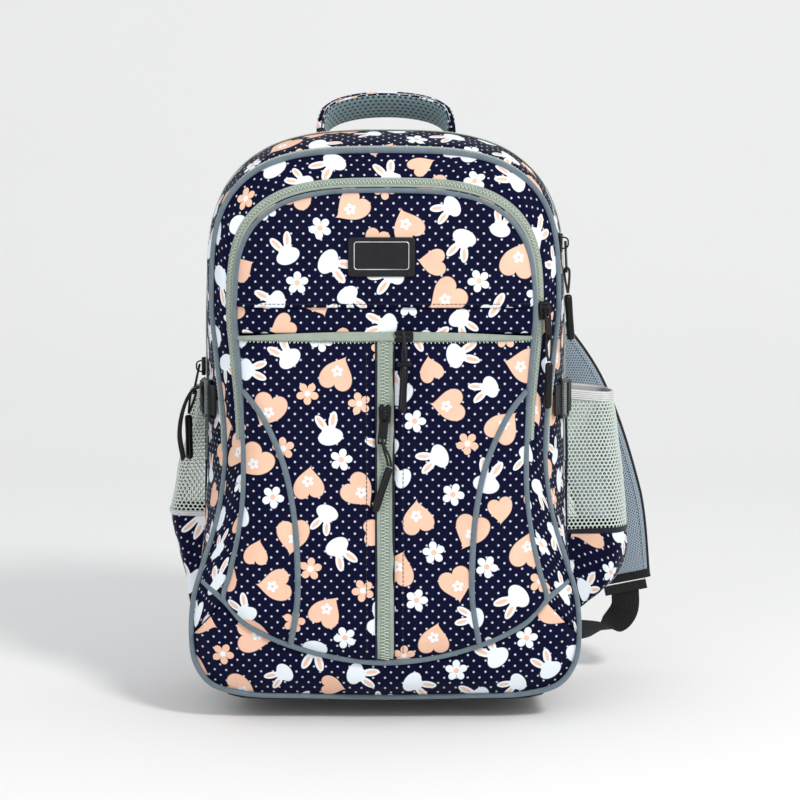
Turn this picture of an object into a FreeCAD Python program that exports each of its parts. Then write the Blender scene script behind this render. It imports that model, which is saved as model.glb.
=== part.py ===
import FreeCAD, Part
import math
import os
import Sketcher

# School backpack, millimetres, +Z up, front faces -Y, origin at the centre of the base on the ground.
# The bag is a stack of soft rings along Y. From the back: back panel, rear gusset, main zip,
# middle gusset, second zip, outer piping, front band, front zip, inner piping, front panel.

Vec = FreeCAD.Vector
doc = FreeCAD.newDocument("school_backpack")
sheet = doc.addObject("Spreadsheet::Sheet", "dims")

DRIVING = [
    ("fabric_wall", 2.5),
    ("gap", 0.3),
    ("rear_plane", 88.0),
    ("main_seam", 5.5),
    ("outer_piping_foot", -70.0),
    ("inner_piping_foot", -92.0),
    ("crown_depth", 12.0),
    ("front_lean", 18.0),
    ("lean_height", 460.0),
    ("rear_top", 462.0),
    ("outer_top", 444.0),
    ("inner_top", 412.0),
    ("piping_radius", 2.2),
    ("fold_axis_height", 185.0),
    ("fold_slope", 38.0),
    ("pocket_zip_height", 298.0),
    ("zip_tape_half", 6.0),
    ("smile_junction", 86.0),
    ("label_width", 53.0),
    ("label_height", 31.0),
    ("label_thick", 2.4),
    ("label_corner", 3.0),
    ("base_width", 268.0),
    ("base_depth", 142.0),
    ("base_thick", 2.0),
    ("board_width", 222.0),
    ("board_depth", 74.0),
    ("board_thick", 3.0),
    ("slider_width", 10.0),
    ("slider_length", 15.0),
    ("slider_thick", 2.4),
    ("bridge_width", 2.6),
    ("bridge_length", 9.0),
    ("bridge_height", 5.0),
    ("eye_radius", 1.7),
    ("cord_diameter", 2.0),
    ("tab_width", 7.2),
    ("tab_length", 24.0),
    ("tab_shoulder", 5.8),
    ("tab_slot", 2.8),
    ("tab_thick", 1.6),
    ("pin_radius", 1.1),
    ("grip_radius", 3.2),
    ("grip_length", 37.0),
    ("webbing_width", 25.0),
    ("webbing_thick", 1.6),
    ("lock_width", 32.0),
    ("lock_length", 24.0),
    ("lock_thick", 4.0),
    ("handle_width", 28.0),
    ("handle_thick", 8.0),
    ("handle_span", 112.0),
    ("handle_rise", 32.0),
    ("handle_lean", 45.0),
    ("strap_width", 62.0),
    ("strap_thick", 12.0),
    ("pad_thick", 9.0),
]
for row, (alias, value) in enumerate(DRIVING, start=1):
    sheet.set(f"A{row}", alias)
    sheet.set(f"B{row}", str(value))
    sheet.setAlias(f"B{row}", alias)
doc.recompute()


def dim(alias):
    """A driving dimension, read back from the sheet."""
    return float(sheet.get(alias))


WALL = dim("fabric_wall")
GAP = dim("gap")
PIPE = dim("piping_radius")
FOLD_Z = dim("fold_axis_height")
LEAN = dim("front_lean") / dim("lean_height")
ZIP_Z = dim("pocket_zip_height")
ZIP_HALF = dim("zip_tape_half")
EYE_RISE = 2.3          # the eye's middle above a slider's plate
parts = {}


# ---------------------------------------------------------------- outlines

# Right halves, from bottom centre to the shoulder, as (x, z); the arch above is a superellipse.
MAIN_SIDE = [(0, 4.2), (65, 4.2), (112, 4.8), (139, 11.5), (150.5, 30), (152.5, 55), (152, 85),
             (151, 116), (149.5, 150), (148, 190), (147.5, 225), (147.5, 275), (147, 325)]
OUTER_SIDE = [(0, 5), (65, 6), (115, 8), (141, 16), (153, 33), (156, 55), (154, 85),
              (145, 116), (134.5, 150), (128.5, 190), (128.5, 225), (134, 275), (138.5, 325)]
INNER_SIDE = [(0, 37), (30, 39.5), (60, 46), (90, 56.5), (113, 69.5), (128, 86), (123, 109),
              (116.5, 138), (112.5, 170), (112, 205), (113, 240), (116, 280), (118.5, 312)]


def arch(shoulder, top, power, steps=5):
    """Superellipse points from the shoulder, which is left out, up to the top centre."""
    half, foot = shoulder
    found = []
    for step in range(1, steps):
        turn = math.radians(90.0 * step / steps)
        found.append((half * math.cos(turn) ** (2 / power),
                      foot + (top - foot) * math.sin(turn) ** (2 / power)))
    return found + [(0, top)]


def closed(side, top, power):
    """The whole outline as (x, z) points, once round from the bottom centre."""
    right = side + arch(side[-1], top, power)
    return right + [(-x, z) for x, z in reversed(right[1:-1])]


MAIN = closed(MAIN_SIDE, dim("rear_top"), 3.0)
OUTER = closed(OUTER_SIDE, dim("outer_top"), 3.3)
INNER = closed(INNER_SIDE, dim("inner_top"), 3.2)


def inset(outline, distance):
    """The outline moved inwards in its own plane."""
    count = len(outline)
    moved = []
    for i, (x, z) in enumerate(outline):
        ahead, behind = outline[(i + 1) % count], outline[i - 1]
        along = (ahead[0] - behind[0], ahead[1] - behind[1])
        size = math.hypot(*along)
        moved.append((x - along[1] / size * distance, z + along[0] / size * distance))
    return moved


class Ring:
    """An outline in a plane that leans back: y = foot + lean * z."""

    def __init__(self, outline, foot, lean=0.0):
        self.outline, self.foot, self.lean = outline, foot, lean

    def toward(self, other, share, depth=0.0):
        """The ring a share of the way to another one, both moved inwards by depth."""
        here, there = inset(self.outline, depth), inset(other.outline, depth)
        mixed = [(a[0] + (b[0] - a[0]) * share, a[1] + (b[1] - a[1]) * share)
                 for a, b in zip(here, there)]
        return Ring(mixed, self.foot + (other.foot - self.foot) * share,
                    self.lean + (other.lean - self.lean) * share)

    def inside(self, depth):
        return Ring(inset(self.outline, depth), self.foot, self.lean)

    def moved(self, y):
        return Ring(self.outline, self.foot + y, self.lean)

    def wire(self):
        curve = Part.BSplineCurve()
        points = [Vec(x, self.foot + self.lean * z, z) for x, z in self.outline]
        curve.interpolate(Points=points, PeriodicFlag=True)
        return Part.Wire([curve.toShape()])


def outwards(solid):
    """The solid with its faces pointing out, whichever way its sections ran."""
    return solid if solid.Volume > 0 else solid.reversed()


def loft(rings):
    return outwards(Part.makeLoft([r.wire() for r in rings], True, True))


def section(low, high, start, stop, wall=WALL):
    """A closed band of fabric between two shares of the way from ring low to ring high."""
    skins = [loft([low.toward(high, start, depth), low.toward(high, stop, depth)])
             for depth in (0.0, wall)]
    return skins[0].cut(skins[1])


# The rings that the fabric is sewn along, back to front.
SEAM = dim("main_seam")
OUTER_FOOT = dim("outer_piping_foot")
INNER_FOOT = dim("inner_piping_foot")
CROWN = dim("crown_depth")
CROWN_INSET = 14.0

BACK = Ring(inset(MAIN, 3.0), dim("rear_plane"))
SEAM_REAR = Ring(MAIN, SEAM)
SEAM_FRONT = Ring(MAIN, -SEAM)
AT_OUTER = Ring(OUTER, OUTER_FOOT, LEAN)
AT_INNER = Ring(INNER, INNER_FOOT, LEAN)
AT_CROWN = Ring(inset(INNER, CROWN_INSET), INNER_FOOT - CROWN, LEAN)


def front_y(z, proud=0.0):
    """Y of the flat front face at height z, or of a point standing proud of it."""
    return INNER_FOOT - CROWN + LEAN * z - proud


# ---------------------------------------------------------------- cutting tools

REACH = 400.0


def slab(z_low, z_high, x_low=-REACH, x_high=REACH):
    """A box that is endless along Y."""
    return Part.makeBox(x_high - x_low, 2 * REACH, z_high - z_low, Vec(x_low, -REACH, z_low))


def prism(corners):
    """A solid with the given (y, z) corners, endless along X."""
    face = Part.Face(Part.makePolygon([Vec(-REACH, y, z) for y, z in corners + corners[:1]]))
    return face.extrude(Vec(2 * REACH, 0, 0))


drop = REACH * math.tan(math.radians(dim("fold_slope")))
ABOVE = slab(FOLD_Z + GAP, 600)
BELOW = prism([(-REACH, -50), (REACH, -50), (REACH, FOLD_Z - GAP), (0, FOLD_Z - GAP),
               (-REACH, FOLD_Z - GAP - drop)])
FOLD = prism([(-GAP, FOLD_Z), (-REACH, FOLD_Z), (-REACH, FOLD_Z - drop)])


# ---------------------------------------------------------------- registering sub-parts

def soft(name, shape):
    """A sub-part whose free shape is set by code."""
    made = doc.addObject("Part::Feature", name)
    made.Shape = shape if len(shape.Solids) != 1 else shape.Solids[0]
    made.Placement = FreeCAD.Placement()
    made.Label = name
    parts[name] = made
    return made


def body(name, placement):
    made = doc.addObject("PartDesign::Body", name)
    made.Label = name
    made.Placement = placement
    parts[name] = made
    return made


def origin_plane(owner, role):
    return next(f for f in owner.Origin.OriginFeatures if f.Role == role)


def rectangle(owner, name, role, width, height, offset=0.0):
    """A centred rectangle sketch whose two sizes are bound to the sheet."""
    drawn = owner.newObject("Sketcher::SketchObject", name)
    drawn.AttachmentSupport = [(origin_plane(owner, role), "")]
    drawn.MapMode = "FlatFace"
    drawn.AttachmentOffset = FreeCAD.Placement(Vec(0, 0, offset), FreeCAD.Rotation())
    corners = [Vec(-5, -4, 0), Vec(5, -4, 0), Vec(5, 4, 0), Vec(-5, 4, 0)]
    for i in range(4):
        drawn.addGeometry(Part.LineSegment(corners[i], corners[(i + 1) % 4]), False)
    for i in range(4):
        drawn.addConstraint(Sketcher.Constraint("Coincident", i, 2, (i + 1) % 4, 1))
    for i, kind in enumerate(("Horizontal", "Vertical", "Horizontal", "Vertical")):
        drawn.addConstraint(Sketcher.Constraint(kind, i))
    drawn.addConstraint(Sketcher.Constraint("Symmetric", 0, 1, 2, 1, -1, 1))
    wide = drawn.addConstraint(Sketcher.Constraint("DistanceX", 0, 1, 0, 2, 10.0))
    tall = drawn.addConstraint(Sketcher.Constraint("DistanceY", 1, 1, 1, 2, 8.0))
    drawn.setExpression(f"Constraints[{wide}]", width)
    drawn.setExpression(f"Constraints[{tall}]", height)
    return drawn


def pad(owner, sketch, name, length):
    made = owner.newObject("PartDesign::Pad", name)
    made.Profile = sketch
    made.setExpression("Length", length)
    return made


def pocket_through(owner, sketch, name, reverse=False):
    made = owner.newObject("PartDesign::Pocket", name)
    made.Profile = sketch
    made.Type = 1
    made.Reversed = reverse
    return made


def plate(name, placement, width, height, thick):
    made = body(name, placement)
    sketch = rectangle(made, name + "_outline", "XY_Plane", width, height)
    pad(made, sketch, name + "_pad", thick)
    doc.recompute()
    return made


# ---------------------------------------------------------------- rear body of the bag

def make_rear():
    soft("back_panel", loft([BACK.moved(GAP), BACK.moved(4.0)]))
    gusset = section(SEAM_REAR, BACK, 0.0, 1.0)
    upper = slab(FOLD_Z + GAP, 600)
    halves = [gusset.common(upper).common(slab(0, 600, -REACH, -GAP)),
              gusset.common(upper).common(slab(0, 600, GAP, REACH))]
    lower = gusset.common(slab(-10, FOLD_Z - GAP))
    floor = [lower.common(slab(-10, 600, -REACH, -GAP)), lower.common(slab(-10, 600, GAP, REACH))]
    soft("rear_gusset", Part.makeCompound(halves + floor))
    ring = section(Ring(MAIN, GAP), Ring(MAIN, SEAM - GAP), 0.0, 1.0, 2.0)
    soft("main_zip_rear_half", ring.common(slab(FOLD_Z + 1.0, 600)))
    seam = section(Ring(MAIN, -SEAM + GAP), Ring(MAIN, SEAM - GAP), 0.0, 1.0, 2.0)
    return seam.common(slab(-10, FOLD_Z - GAP))


def make_back_pads():
    """Two tall channels and one low cushion of foam under spacer mesh."""
    y = dim("rear_plane") + 4.0 + GAP
    pads = []
    for side in (-1, 1):
        block = Part.makeBox(94, dim("pad_thick"), 240, Vec(-47 + side * 61, y, 150))
        pads.append(block.makeFillet(8.5, [e for e in block.Edges if e.BoundBox.YLength > 5]))
    low = Part.makeBox(216, dim("pad_thick"), 92, Vec(-108, y, 42))
    pads.append(low.makeFillet(8.5, [e for e in low.Edges if e.BoundBox.YLength > 5]))
    soft("back_pads", Part.makeCompound(pads))


def make_base():
    middle = FreeCAD.Placement(Vec(0, 12, 0), FreeCAD.Rotation())
    plate("base_panel", middle, "dims.base_width", "dims.base_depth", "dims.base_thick")
    inside = FreeCAD.Placement(Vec(0, 46.0, 11.4), FreeCAD.Rotation())
    plate("base_board", inside, "dims.board_width", "dims.board_depth", "dims.board_thick")


# ---------------------------------------------------------------- front section

def make_middle(binding):
    """The gusset between the main seam and the outer piping, and the band ahead of it."""
    gusset = section(SEAM_FRONT, AT_OUTER, 0.0, 0.83)
    whole = section(SEAM_FRONT, AT_OUTER, 0.0, 0.95)
    soft("middle_gusset", gusset.common(ABOVE))
    side_band = section(AT_OUTER, AT_INNER, 0.12, 0.88)
    sides = side_band.common(BELOW).common(slab(dim("smile_junction") + GAP, 600))
    soft("lower_gusset", Part.makeCompound([whole.common(BELOW), sides, binding]))
    soft("gusset_fold", Part.makeCompound([whole.common(FOLD), side_band.common(FOLD)]))
    soft("smile_panel", side_band.common(slab(-10, dim("smile_junction"))))
    zip_band = section(SEAM_FRONT, AT_OUTER, 0.84, 0.95, 2.0)
    soft("second_zip", zip_band.common(slab(FOLD_Z + 12, 600)))
    half = section(Ring(MAIN, -SEAM + GAP), Ring(MAIN, -GAP), 0.0, 1.0, 2.0)
    soft("main_zip_front_half", half.common(slab(FOLD_Z + 4.0, 600)))


def divider(share):
    """A thin wall across the bag, a share of the way from the main seam to the outer piping."""
    return loft([SEAM_FRONT.toward(AT_OUTER, share, 3.4),
                 SEAM_FRONT.toward(AT_OUTER, share + 0.03, 3.4)])


def make_dividers():
    rear, front = divider(0.01), divider(0.88)
    soft("dividers", Part.makeCompound([rear.common(ABOVE), front.common(ABOVE)]))
    soft("lower_dividers", Part.makeCompound([rear.common(BELOW), front.common(BELOW)]))
    soft("divider_fold", Part.makeCompound([rear.common(FOLD), front.common(FOLD)]))


def piping(ring):
    """A square cord round a ring, standing proud of it by the piping's radius."""
    outer, inner = ring.inside(-PIPE), ring.inside(PIPE)
    return loft([outer.moved(PIPE), outer.moved(-PIPE)]).cut(
        loft([inner.moved(PIPE), inner.moved(-PIPE)]))


def make_band():
    upper = section(AT_OUTER, AT_INNER, 0.12, 0.60)
    soft("front_band", upper.common(ABOVE))
    soft("front_zip", section(AT_OUTER, AT_INNER, 0.62, 0.88, 2.0).common(slab(FOLD_Z + 2, 600)))


def make_pipings():
    outer = piping(AT_OUTER)
    inner = piping(AT_INNER)
    soft("outer_piping", outer.common(ABOVE))
    soft("inner_piping", inner.common(ABOVE))
    trims = [trim_piping(side) for side in (-1, 1)]
    soft("trim_piping", Part.makeCompound([t.common(ABOVE) for t in trims]))
    cords = [outer, inner] + trims
    soft("lower_piping", Part.makeCompound([c.common(BELOW) for c in cords]))
    soft("piping_fold", Part.makeCompound([c.common(FOLD) for c in cords]))


TRIM_ROUTE = [(97, 233), (81, 199), (72.5, 160), (69.5, 122), (69.5, 88), (74, 62)]


def strip(route, half, proud, thick):
    """A flat strip that follows (x, z) points on the front face."""
    count = len(route)
    sides = [[], []]
    for i, (x, z) in enumerate(route):
        ahead, behind = route[min(i + 1, count - 1)], route[max(i - 1, 0)]
        along = (ahead[0] - behind[0], ahead[1] - behind[1])
        size = math.hypot(*along)
        step = (along[1] / size * half, -along[0] / size * half)
        for k, sign in enumerate((1, -1)):
            px, pz = x + sign * step[0], z + sign * step[1]
            sides[k].append(Vec(px, front_y(pz, proud), pz))
    curves = []
    for points in (sides[0], list(reversed(sides[1]))):
        curve = Part.BSplineCurve()
        curve.interpolate(Points=points)
        curves.append(curve.toShape())
    joins = [Part.LineSegment(sides[0][-1], sides[1][-1]).toShape(),
             Part.LineSegment(sides[1][0], sides[0][0]).toShape()]
    face = Part.Face(Part.Wire([curves[0], joins[0], curves[1], joins[1]]))
    return face.extrude(Vec(0, -thick, 0))


def trim_piping(side):
    route = [(side * x, z) for x, z in TRIM_ROUTE]
    return strip(route, PIPE, GAP, 2 * PIPE - 1.4)


def make_front_panel():
    skin = loft([AT_INNER.toward(AT_CROWN, 0.22), AT_CROWN])
    hollow = loft([AT_INNER.toward(AT_CROWN, -0.3, 2.0).moved(WALL),
                   AT_CROWN.inside(2.0).moved(WALL)])
    dish = skin.cut(hollow)
    slot = Part.makeBox(2 * ZIP_HALF + 1, 60, ZIP_Z - 4 - 46, Vec(-ZIP_HALF - 0.5, -130, 46))
    lower = slab(-10, ZIP_Z - 4.0)
    soft("label_panel", dish.common(slab(ZIP_Z + 4.0, 600)))
    quilt = dish.common(lower).cut(slot)
    soft("front_panel_left", quilt.common(ABOVE).common(slab(0, 600, -REACH, -1)))
    soft("front_panel_right", quilt.common(ABOVE).common(slab(0, 600, 1, REACH)))
    soft("front_panel_foot", quilt.common(BELOW))
    return quilt.common(FOLD)


def make_front_zips():
    across = strip([(-100, ZIP_Z), (100, ZIP_Z)], 3.7, -WALL + GAP, WALL - GAP)
    soft("pocket_zip", across)
    route = [(0, ZIP_Z - 4.3), (0, 47)]
    chain = strip(route, ZIP_HALF, -WALL + GAP, WALL - GAP)
    soft("vertical_zip", chain.common(ABOVE))
    soft("vertical_zip_lower", chain.common(BELOW))
    return chain.common(FOLD)


def make_label():
    z = 360.5
    lean = math.degrees(math.atan(LEAN))
    turn = FreeCAD.Rotation(Vec(1, 0, 0), 90 - lean)
    made = body("label_badge", FreeCAD.Placement(Vec(-2.5, front_y(z, GAP), z), turn))
    outline = rectangle(made, "label_outline", "XY_Plane", "dims.label_width", "dims.label_height")
    block = pad(made, outline, "label_pad", "dims.label_thick")
    doc.recompute()
    corner = made.newObject("PartDesign::Fillet", "label_corners")
    upright_edges = [f"Edge{i + 1}" for i, e in enumerate(block.Shape.Edges)
                     if abs(e.Vertexes[0].Point.z - e.Vertexes[1].Point.z) > 1]
    corner.Base = (block, upright_edges)
    corner.setExpression("Radius", "dims.label_corner")
    doc.recompute()


# ---------------------------------------------------------------- side pockets

POCKET_BACK, POCKET_FRONT = 84.0, 9.0
SIDE_STRAP_Z = 243.0


def pocket_ring(side, z, reach, shrink=0.0):
    """A D-shaped section of a side pocket: a straight edge on the bag and a bowed outer edge."""
    near = 153.2 - 8 * shrink
    low, high = POCKET_FRONT + shrink, POCKET_BACK - shrink
    far = reach - shrink
    edge = Part.LineSegment(Vec(side * near, low, z), Vec(side * near, high, z)).toShape()
    middle = (low + high) / 2
    bow = Part.BSplineCurve()
    bow.interpolate(Points=[Vec(side * near, high, z),
                            Vec(side * (near + (far - near) * 0.80), high - 6, z),
                            Vec(side * far, middle + 12, z),
                            Vec(side * far, middle - 12, z),
                            Vec(side * (near + (far - near) * 0.80), low + 6, z),
                            Vec(side * near, low, z)])
    return Part.Wire([edge, bow.toShape()])


def pocket_shell(side, stations, wall, floor=0.0):
    """The pocket's wall through (z, reach) stations, open to the bag and, but for a floor, at its ends."""
    outer = outwards(Part.makeLoft([pocket_ring(side, z, reach) for z, reach in stations],
                                   True, True))
    webbing_room = Part.makeBox(3.4, 41, 28, Vec(side * 154.4 - 1.7, 5.5, SIDE_STRAP_Z - 14))
    inner_stations = [(z, reach) for z, reach in stations]
    inner_stations[0] = (stations[0][0] + floor, stations[0][1])
    inner = outwards(Part.makeLoft([pocket_ring(side, z, reach, wall)
                                    for z, reach in inner_stations], True, True))
    return outer.cut(inner).cut(webbing_room)


def make_pockets():
    sizes = {
        "left": (-1, [(55, 164), (90, 171), (128, 181), (143, 183)],
                 [(143.4, 183), (180, 176), (215, 168), (238, 164)], [(238.4, 165), (246, 164.5)]),
        "right": (1, [(62, 166), (88, 198), (112, 205), (128, 204)],
                  [(128.4, 204), (170, 201), (210, 196), (236, 191)], [(236.4, 192), (244, 191)]),
    }
    rims = []
    for name, (side, base, mesh, rim) in sizes.items():
        soft(name + "_pocket_base", pocket_shell(side, base, 2.0, 3.0))
        soft(name + "_pocket_mesh", pocket_shell(side, mesh, 1.4))
        rims.append(pocket_shell(side, rim, 2.2))
    soft("pocket_bindings", Part.makeCompound(rims))


# ---------------------------------------------------------------- straps and handle

def strap_axes(along, across):
    """The run, width and face directions of a strap, at right angles to each other."""
    along = Vec(along).normalize()
    face = along.cross(Vec(across)).normalize()
    return along, face.cross(along).normalize(), face


def strap_block(centre, along, across, width, thick):
    """One rectangular section of a strap, at a right angle to its run."""
    along, across, face = strap_axes(along, across)
    corners = []
    for a, b in ((-1, -1), (1, -1), (1, 1), (-1, 1)):
        corners.append(Vec(centre) + across * (a * width / 2) + face * (b * thick / 2))
    return Part.makePolygon(corners + corners[:1])


def strap(route, widths, thick, across):
    rings = []
    for i, point in enumerate(route):
        ahead, behind = route[min(i + 1, len(route) - 1)], route[max(i - 1, 0)]
        run = Vec(*ahead) - Vec(*behind)
        rings.append(strap_block(point, run, across, widths[i], thick))
    return outwards(Part.makeLoft(rings, True, True))


STRAP_ROUTES = {
    "right": [(37, 101.6, 445), (62, 131, 390), (105, 140, 315), (163, 139, 235), (199, 133, 137),
              (213, 129, 66)],
    "left": [(-37, 103.8, 445), (-58, 131, 390), (-80, 140, 320), (-104, 140, 240),
             (-120, 134, 160), (-126, 130, 92)],
}
TAIL_ROUTES = {
    "right": [(213, 126.5, 40), (199, 119, 27), (162, 105, 26), (134, 93.9, 34)],
    "left": [(-129, 127, 60), (-130, 118, 44), (-130, 104, 39), (-131, 93.9, 39)],
}
STRAP_SLANT = 0.25      # rise across a shoulder strap's width for each mm outwards
LOCK_LENGTH, LOCK_DROP = 8.0, 2.4


def ladder_lock(end, along, across):
    """A flat frame across the end of a shoulder strap, with a slot for the webbing."""
    along, across, face = strap_axes(along, across)
    middle = Vec(*end) + along * (LOCK_DROP + LOCK_LENGTH / 2)
    frame = Part.makeBox(38, 5.2, LOCK_LENGTH, Vec(-19, -2.6, -LOCK_LENGTH / 2))
    frame = frame.cut(Part.makeBox(32, 3.8, 2 * LOCK_LENGTH, Vec(-16, -1.9, -LOCK_LENGTH)))
    up = along * -1
    frame.Placement = FreeCAD.Placement(FreeCAD.Matrix(
        across.x, face.x, up.x, middle.x, across.y, face.y, up.y, middle.y,
        across.z, face.z, up.z, middle.z, 0, 0, 0, 1))
    return frame


def make_shoulder_straps():
    width, thick = dim("strap_width"), dim("strap_thick")
    tails, locks = [], []
    for name, route in STRAP_ROUTES.items():
        widths = [width * 0.78, width * 0.9, width, width, width * 0.92, width * 0.7]
        soft("shoulder_strap_" + name, strap(route, widths, thick, (1, 0, STRAP_SLANT)))
        run = (Vec(*route[-1]) - Vec(*route[-2])).normalize()
        locks.append(ladder_lock(route[-1], run, (1, 0, STRAP_SLANT)))
        start = Vec(*route[-1]) + run * (LOCK_DROP + LOCK_LENGTH * 0.9)
        tail = [tuple(start)] + TAIL_ROUTES[name]
        tails.append(strap(tail, [dim("webbing_width")] * len(tail), dim("webbing_thick"),
                           (1, 0.1, STRAP_SLANT)))
    soft("strap_webbing", Part.makeCompound(tails))
    soft("strap_ladder_locks", Part.makeCompound(locks))


def make_handle():
    """An arched, padded strap that leans back from two feet; it turns about the line through them."""
    half, rise = dim("handle_span") / 2, dim("handle_rise")
    wide, thick = dim("handle_width"), dim("handle_thick")
    lean = math.radians(dim("handle_lean"))
    pivot = Vec(0, 86.0, 466.0)
    out = Vec(0, math.sin(lean), math.cos(lean))
    flat = Vec(0, math.cos(lean), -math.sin(lean))
    rings = []
    steps = 12
    for step in range(steps + 1):
        turn = math.pi * step / steps
        x, up = -half * math.cos(turn), rise * math.sin(turn) ** 0.8
        ahead = Vec(half * math.sin(turn), 0, 0) + out * (rise * math.cos(turn))
        share = min(1.0, 0.32 + 1.9 * math.sin(turn))
        middle = pivot + Vec(x, 0, 0) + out * up
        rings.append(strap_block(middle, ahead, flat, wide * min(share, 1.0), thick))
    soft("carry_handle", outwards(Part.makeLoft(rings, True, True)))


LOOSE_END = [(-153.4, -17, 252), (-158.5, -17.5, 250), (-166, -17.5, 236),
             (-170, -17.5, 214), (-167, -17.5, 192)]


def make_side_straps():
    """Webbing that draws the front section to the rear gusset, with a ladder lock on each side."""
    z, angle = SIDE_STRAP_Z, math.degrees(math.atan2(17.0, 50.0))
    webs, anchors = [], []
    for name, side in (("left", -1), ("right", 1)):
        turn = FreeCAD.Rotation(Vec(0, 0, 1), side * -angle)
        place = FreeCAD.Placement(Vec(side * 146.6, -22, z), turn)
        lock = body(f"side_buckle_{name}", place)
        face = rectangle(lock, f"side_buckle_{name}_face", "YZ_Plane", "dims.lock_length",
                         "dims.lock_width", -2.0)
        pad(lock, face, f"side_buckle_{name}_pad", "dims.lock_thick")
        doc.recompute()
        slot = lock.newObject("Sketcher::SketchObject", f"side_buckle_{name}_slots")
        slot.AttachmentSupport = [(origin_plane(lock, "YZ_Plane"), "")]
        slot.MapMode = "FlatFace"
        slot.AttachmentOffset = FreeCAD.Placement(Vec(0, 0, -3.0), FreeCAD.Rotation())
        for centre in (-6.0, 6.0):
            box = [Vec(centre - 2.5, -13, 0), Vec(centre + 2.5, -13, 0),
                   Vec(centre + 2.5, 13, 0), Vec(centre - 2.5, 13, 0)]
            for i in range(4):
                slot.addGeometry(Part.LineSegment(box[i], box[(i + 1) % 4]), False)
        pocket_through(lock, slot, f"side_buckle_{name}_cut", True)
        doc.recompute()
        anchor = Part.makeBox(1.6, 16, 25, Vec(-0.8, -28.6, -12.5))
        anchor.Placement = place
        anchors.append(anchor)
        x = side * 153.6
        webs.append(Part.makeBox(1.6, 40, 25, Vec(x - 0.8 + side * 0.8, 6, z - 12.5)))
        bridge = strap([(x + side * 0.8, 5.7, z), (side * 151.5, -8.2, z)], [25, 25], 1.6,
                       (0, 0, 1))
        webs.append(bridge)
    soft("side_webbing", Part.makeCompound(webs))
    anchors.append(strap(LOOSE_END, [25] * len(LOOSE_END), 1.6, (0, 1, 0)))
    soft("buckle_anchors", Part.makeCompound(anchors))


# ---------------------------------------------------------------- zip sliders and pulls

def make_slider(name, place):
    """A slider plate with a bridge; local X across the zip, local Y along it, local Z outwards."""
    made = body(name + "_slider", place)
    foot = rectangle(made, name + "_plate", "XY_Plane", "dims.slider_width", "dims.slider_length")
    pad(made, foot, name + "_plate_pad", "dims.slider_thick")
    rib = rectangle(made, name + "_bridge", "XY_Plane", "dims.bridge_width",
                    "dims.bridge_length")
    pad(made, rib, name + "_bridge_pad", "dims.slider_thick + dims.bridge_height")
    doc.recompute()
    eye = made.newObject("Sketcher::SketchObject", name + "_eye")
    eye.AttachmentSupport = [(origin_plane(made, "YZ_Plane"), "")]
    eye.MapMode = "FlatFace"
    centre = Vec(0, dim("slider_thick") + EYE_RISE, 0)
    eye.addGeometry(Part.Circle(centre, Vec(0, 0, 1), dim("eye_radius")), False)
    size = eye.addConstraint(Sketcher.Constraint("Radius", 0, 1.7))
    eye.setExpression(f"Constraints[{size}]", "dims.eye_radius")
    hole = pocket_through(made, eye, name + "_eye_cut")
    hole.Midplane = True
    doc.recompute()


def rounded_path(points):
    """Straight runs joined by tangent arcs, as large as the shorter run beside each allows."""
    edges, start, radii = [], points[0], []
    for i in range(1, len(points) - 1):
        here = points[i]
        back, ahead = points[i - 1] - here, points[i + 1] - here
        turn = math.pi - back.getAngle(ahead)
        cut = 0.45 * min(back.Length, ahead.Length)
        radii.append(cut / math.tan(turn / 2))
        first = here + Vec(back).normalize() * cut
        last = here + Vec(ahead).normalize() * cut
        inward = (Vec(back).normalize() + Vec(ahead).normalize()).normalize()
        depth = cut / math.cos((math.pi - turn) / 2)
        bulge = here + inward * (depth - radii[-1])
        edges.append(Part.LineSegment(start, first).toShape())
        edges.append(Part.Arc(first, bulge, last).toShape())
        start = last
    edges.append(Part.LineSegment(start, points[-1]).toShape())
    return Part.Wire(edges), radii


def tube(points, radius):
    path, radii = rounded_path(points)
    run = (points[1] - points[0]).normalize()
    ring = Part.Wire([Part.makeCircle(radius, points[0], run)])
    made = path.makePipeShell([ring], True, False)
    expected = math.pi * radius ** 2 * path.Length
    print("cord volume ratio %.3f, radii %s" % (made.Volume / expected,
                                                " ".join("%.1f" % r for r in radii)))
    return made


def from_eye(eye, across, down, out):
    """Points given as (across, down, out) distances from a slider's eye, as vectors."""
    return lambda a, d, o: eye + across * a + down * d + out * o


def tab_shape(eye, across, out):
    """The flat tab that hooks into the slider's eye with a cross pin and carries the cord below."""
    half, thick, arm = dim("tab_width") / 2, dim("tab_thick"), dim("tab_shoulder")
    length, slot = dim("tab_length"), dim("tab_slot")
    place = frame_of(eye - out * (thick / 2), across, out)
    inner = dim("bridge_width") / 2 + 0.6
    plate_block = Part.makeBox(2 * half, length - arm, thick, Vec(-half, -length, 0))
    low = length - 2.0 - slot
    window = Part.makeBox(2 * half - 2.2, slot, 3 * thick, Vec(1.1 - half, -low - slot, -thick))
    tab = plate_block.cut(window)
    for side in (-1, 1):
        x = inner if side > 0 else -half
        tab = tab.fuse(Part.makeBox(half - inner, arm + 1.6, thick, Vec(x, -arm, 0)))
    pin = Part.makeCylinder(dim("pin_radius"), 2 * inner + 0.8, Vec(-inner - 0.4, 0, thick / 2),
                            Vec(1, 0, 0))
    tab = tab.fuse(pin).removeSplitter()
    tab.Placement = place
    return tab


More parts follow.
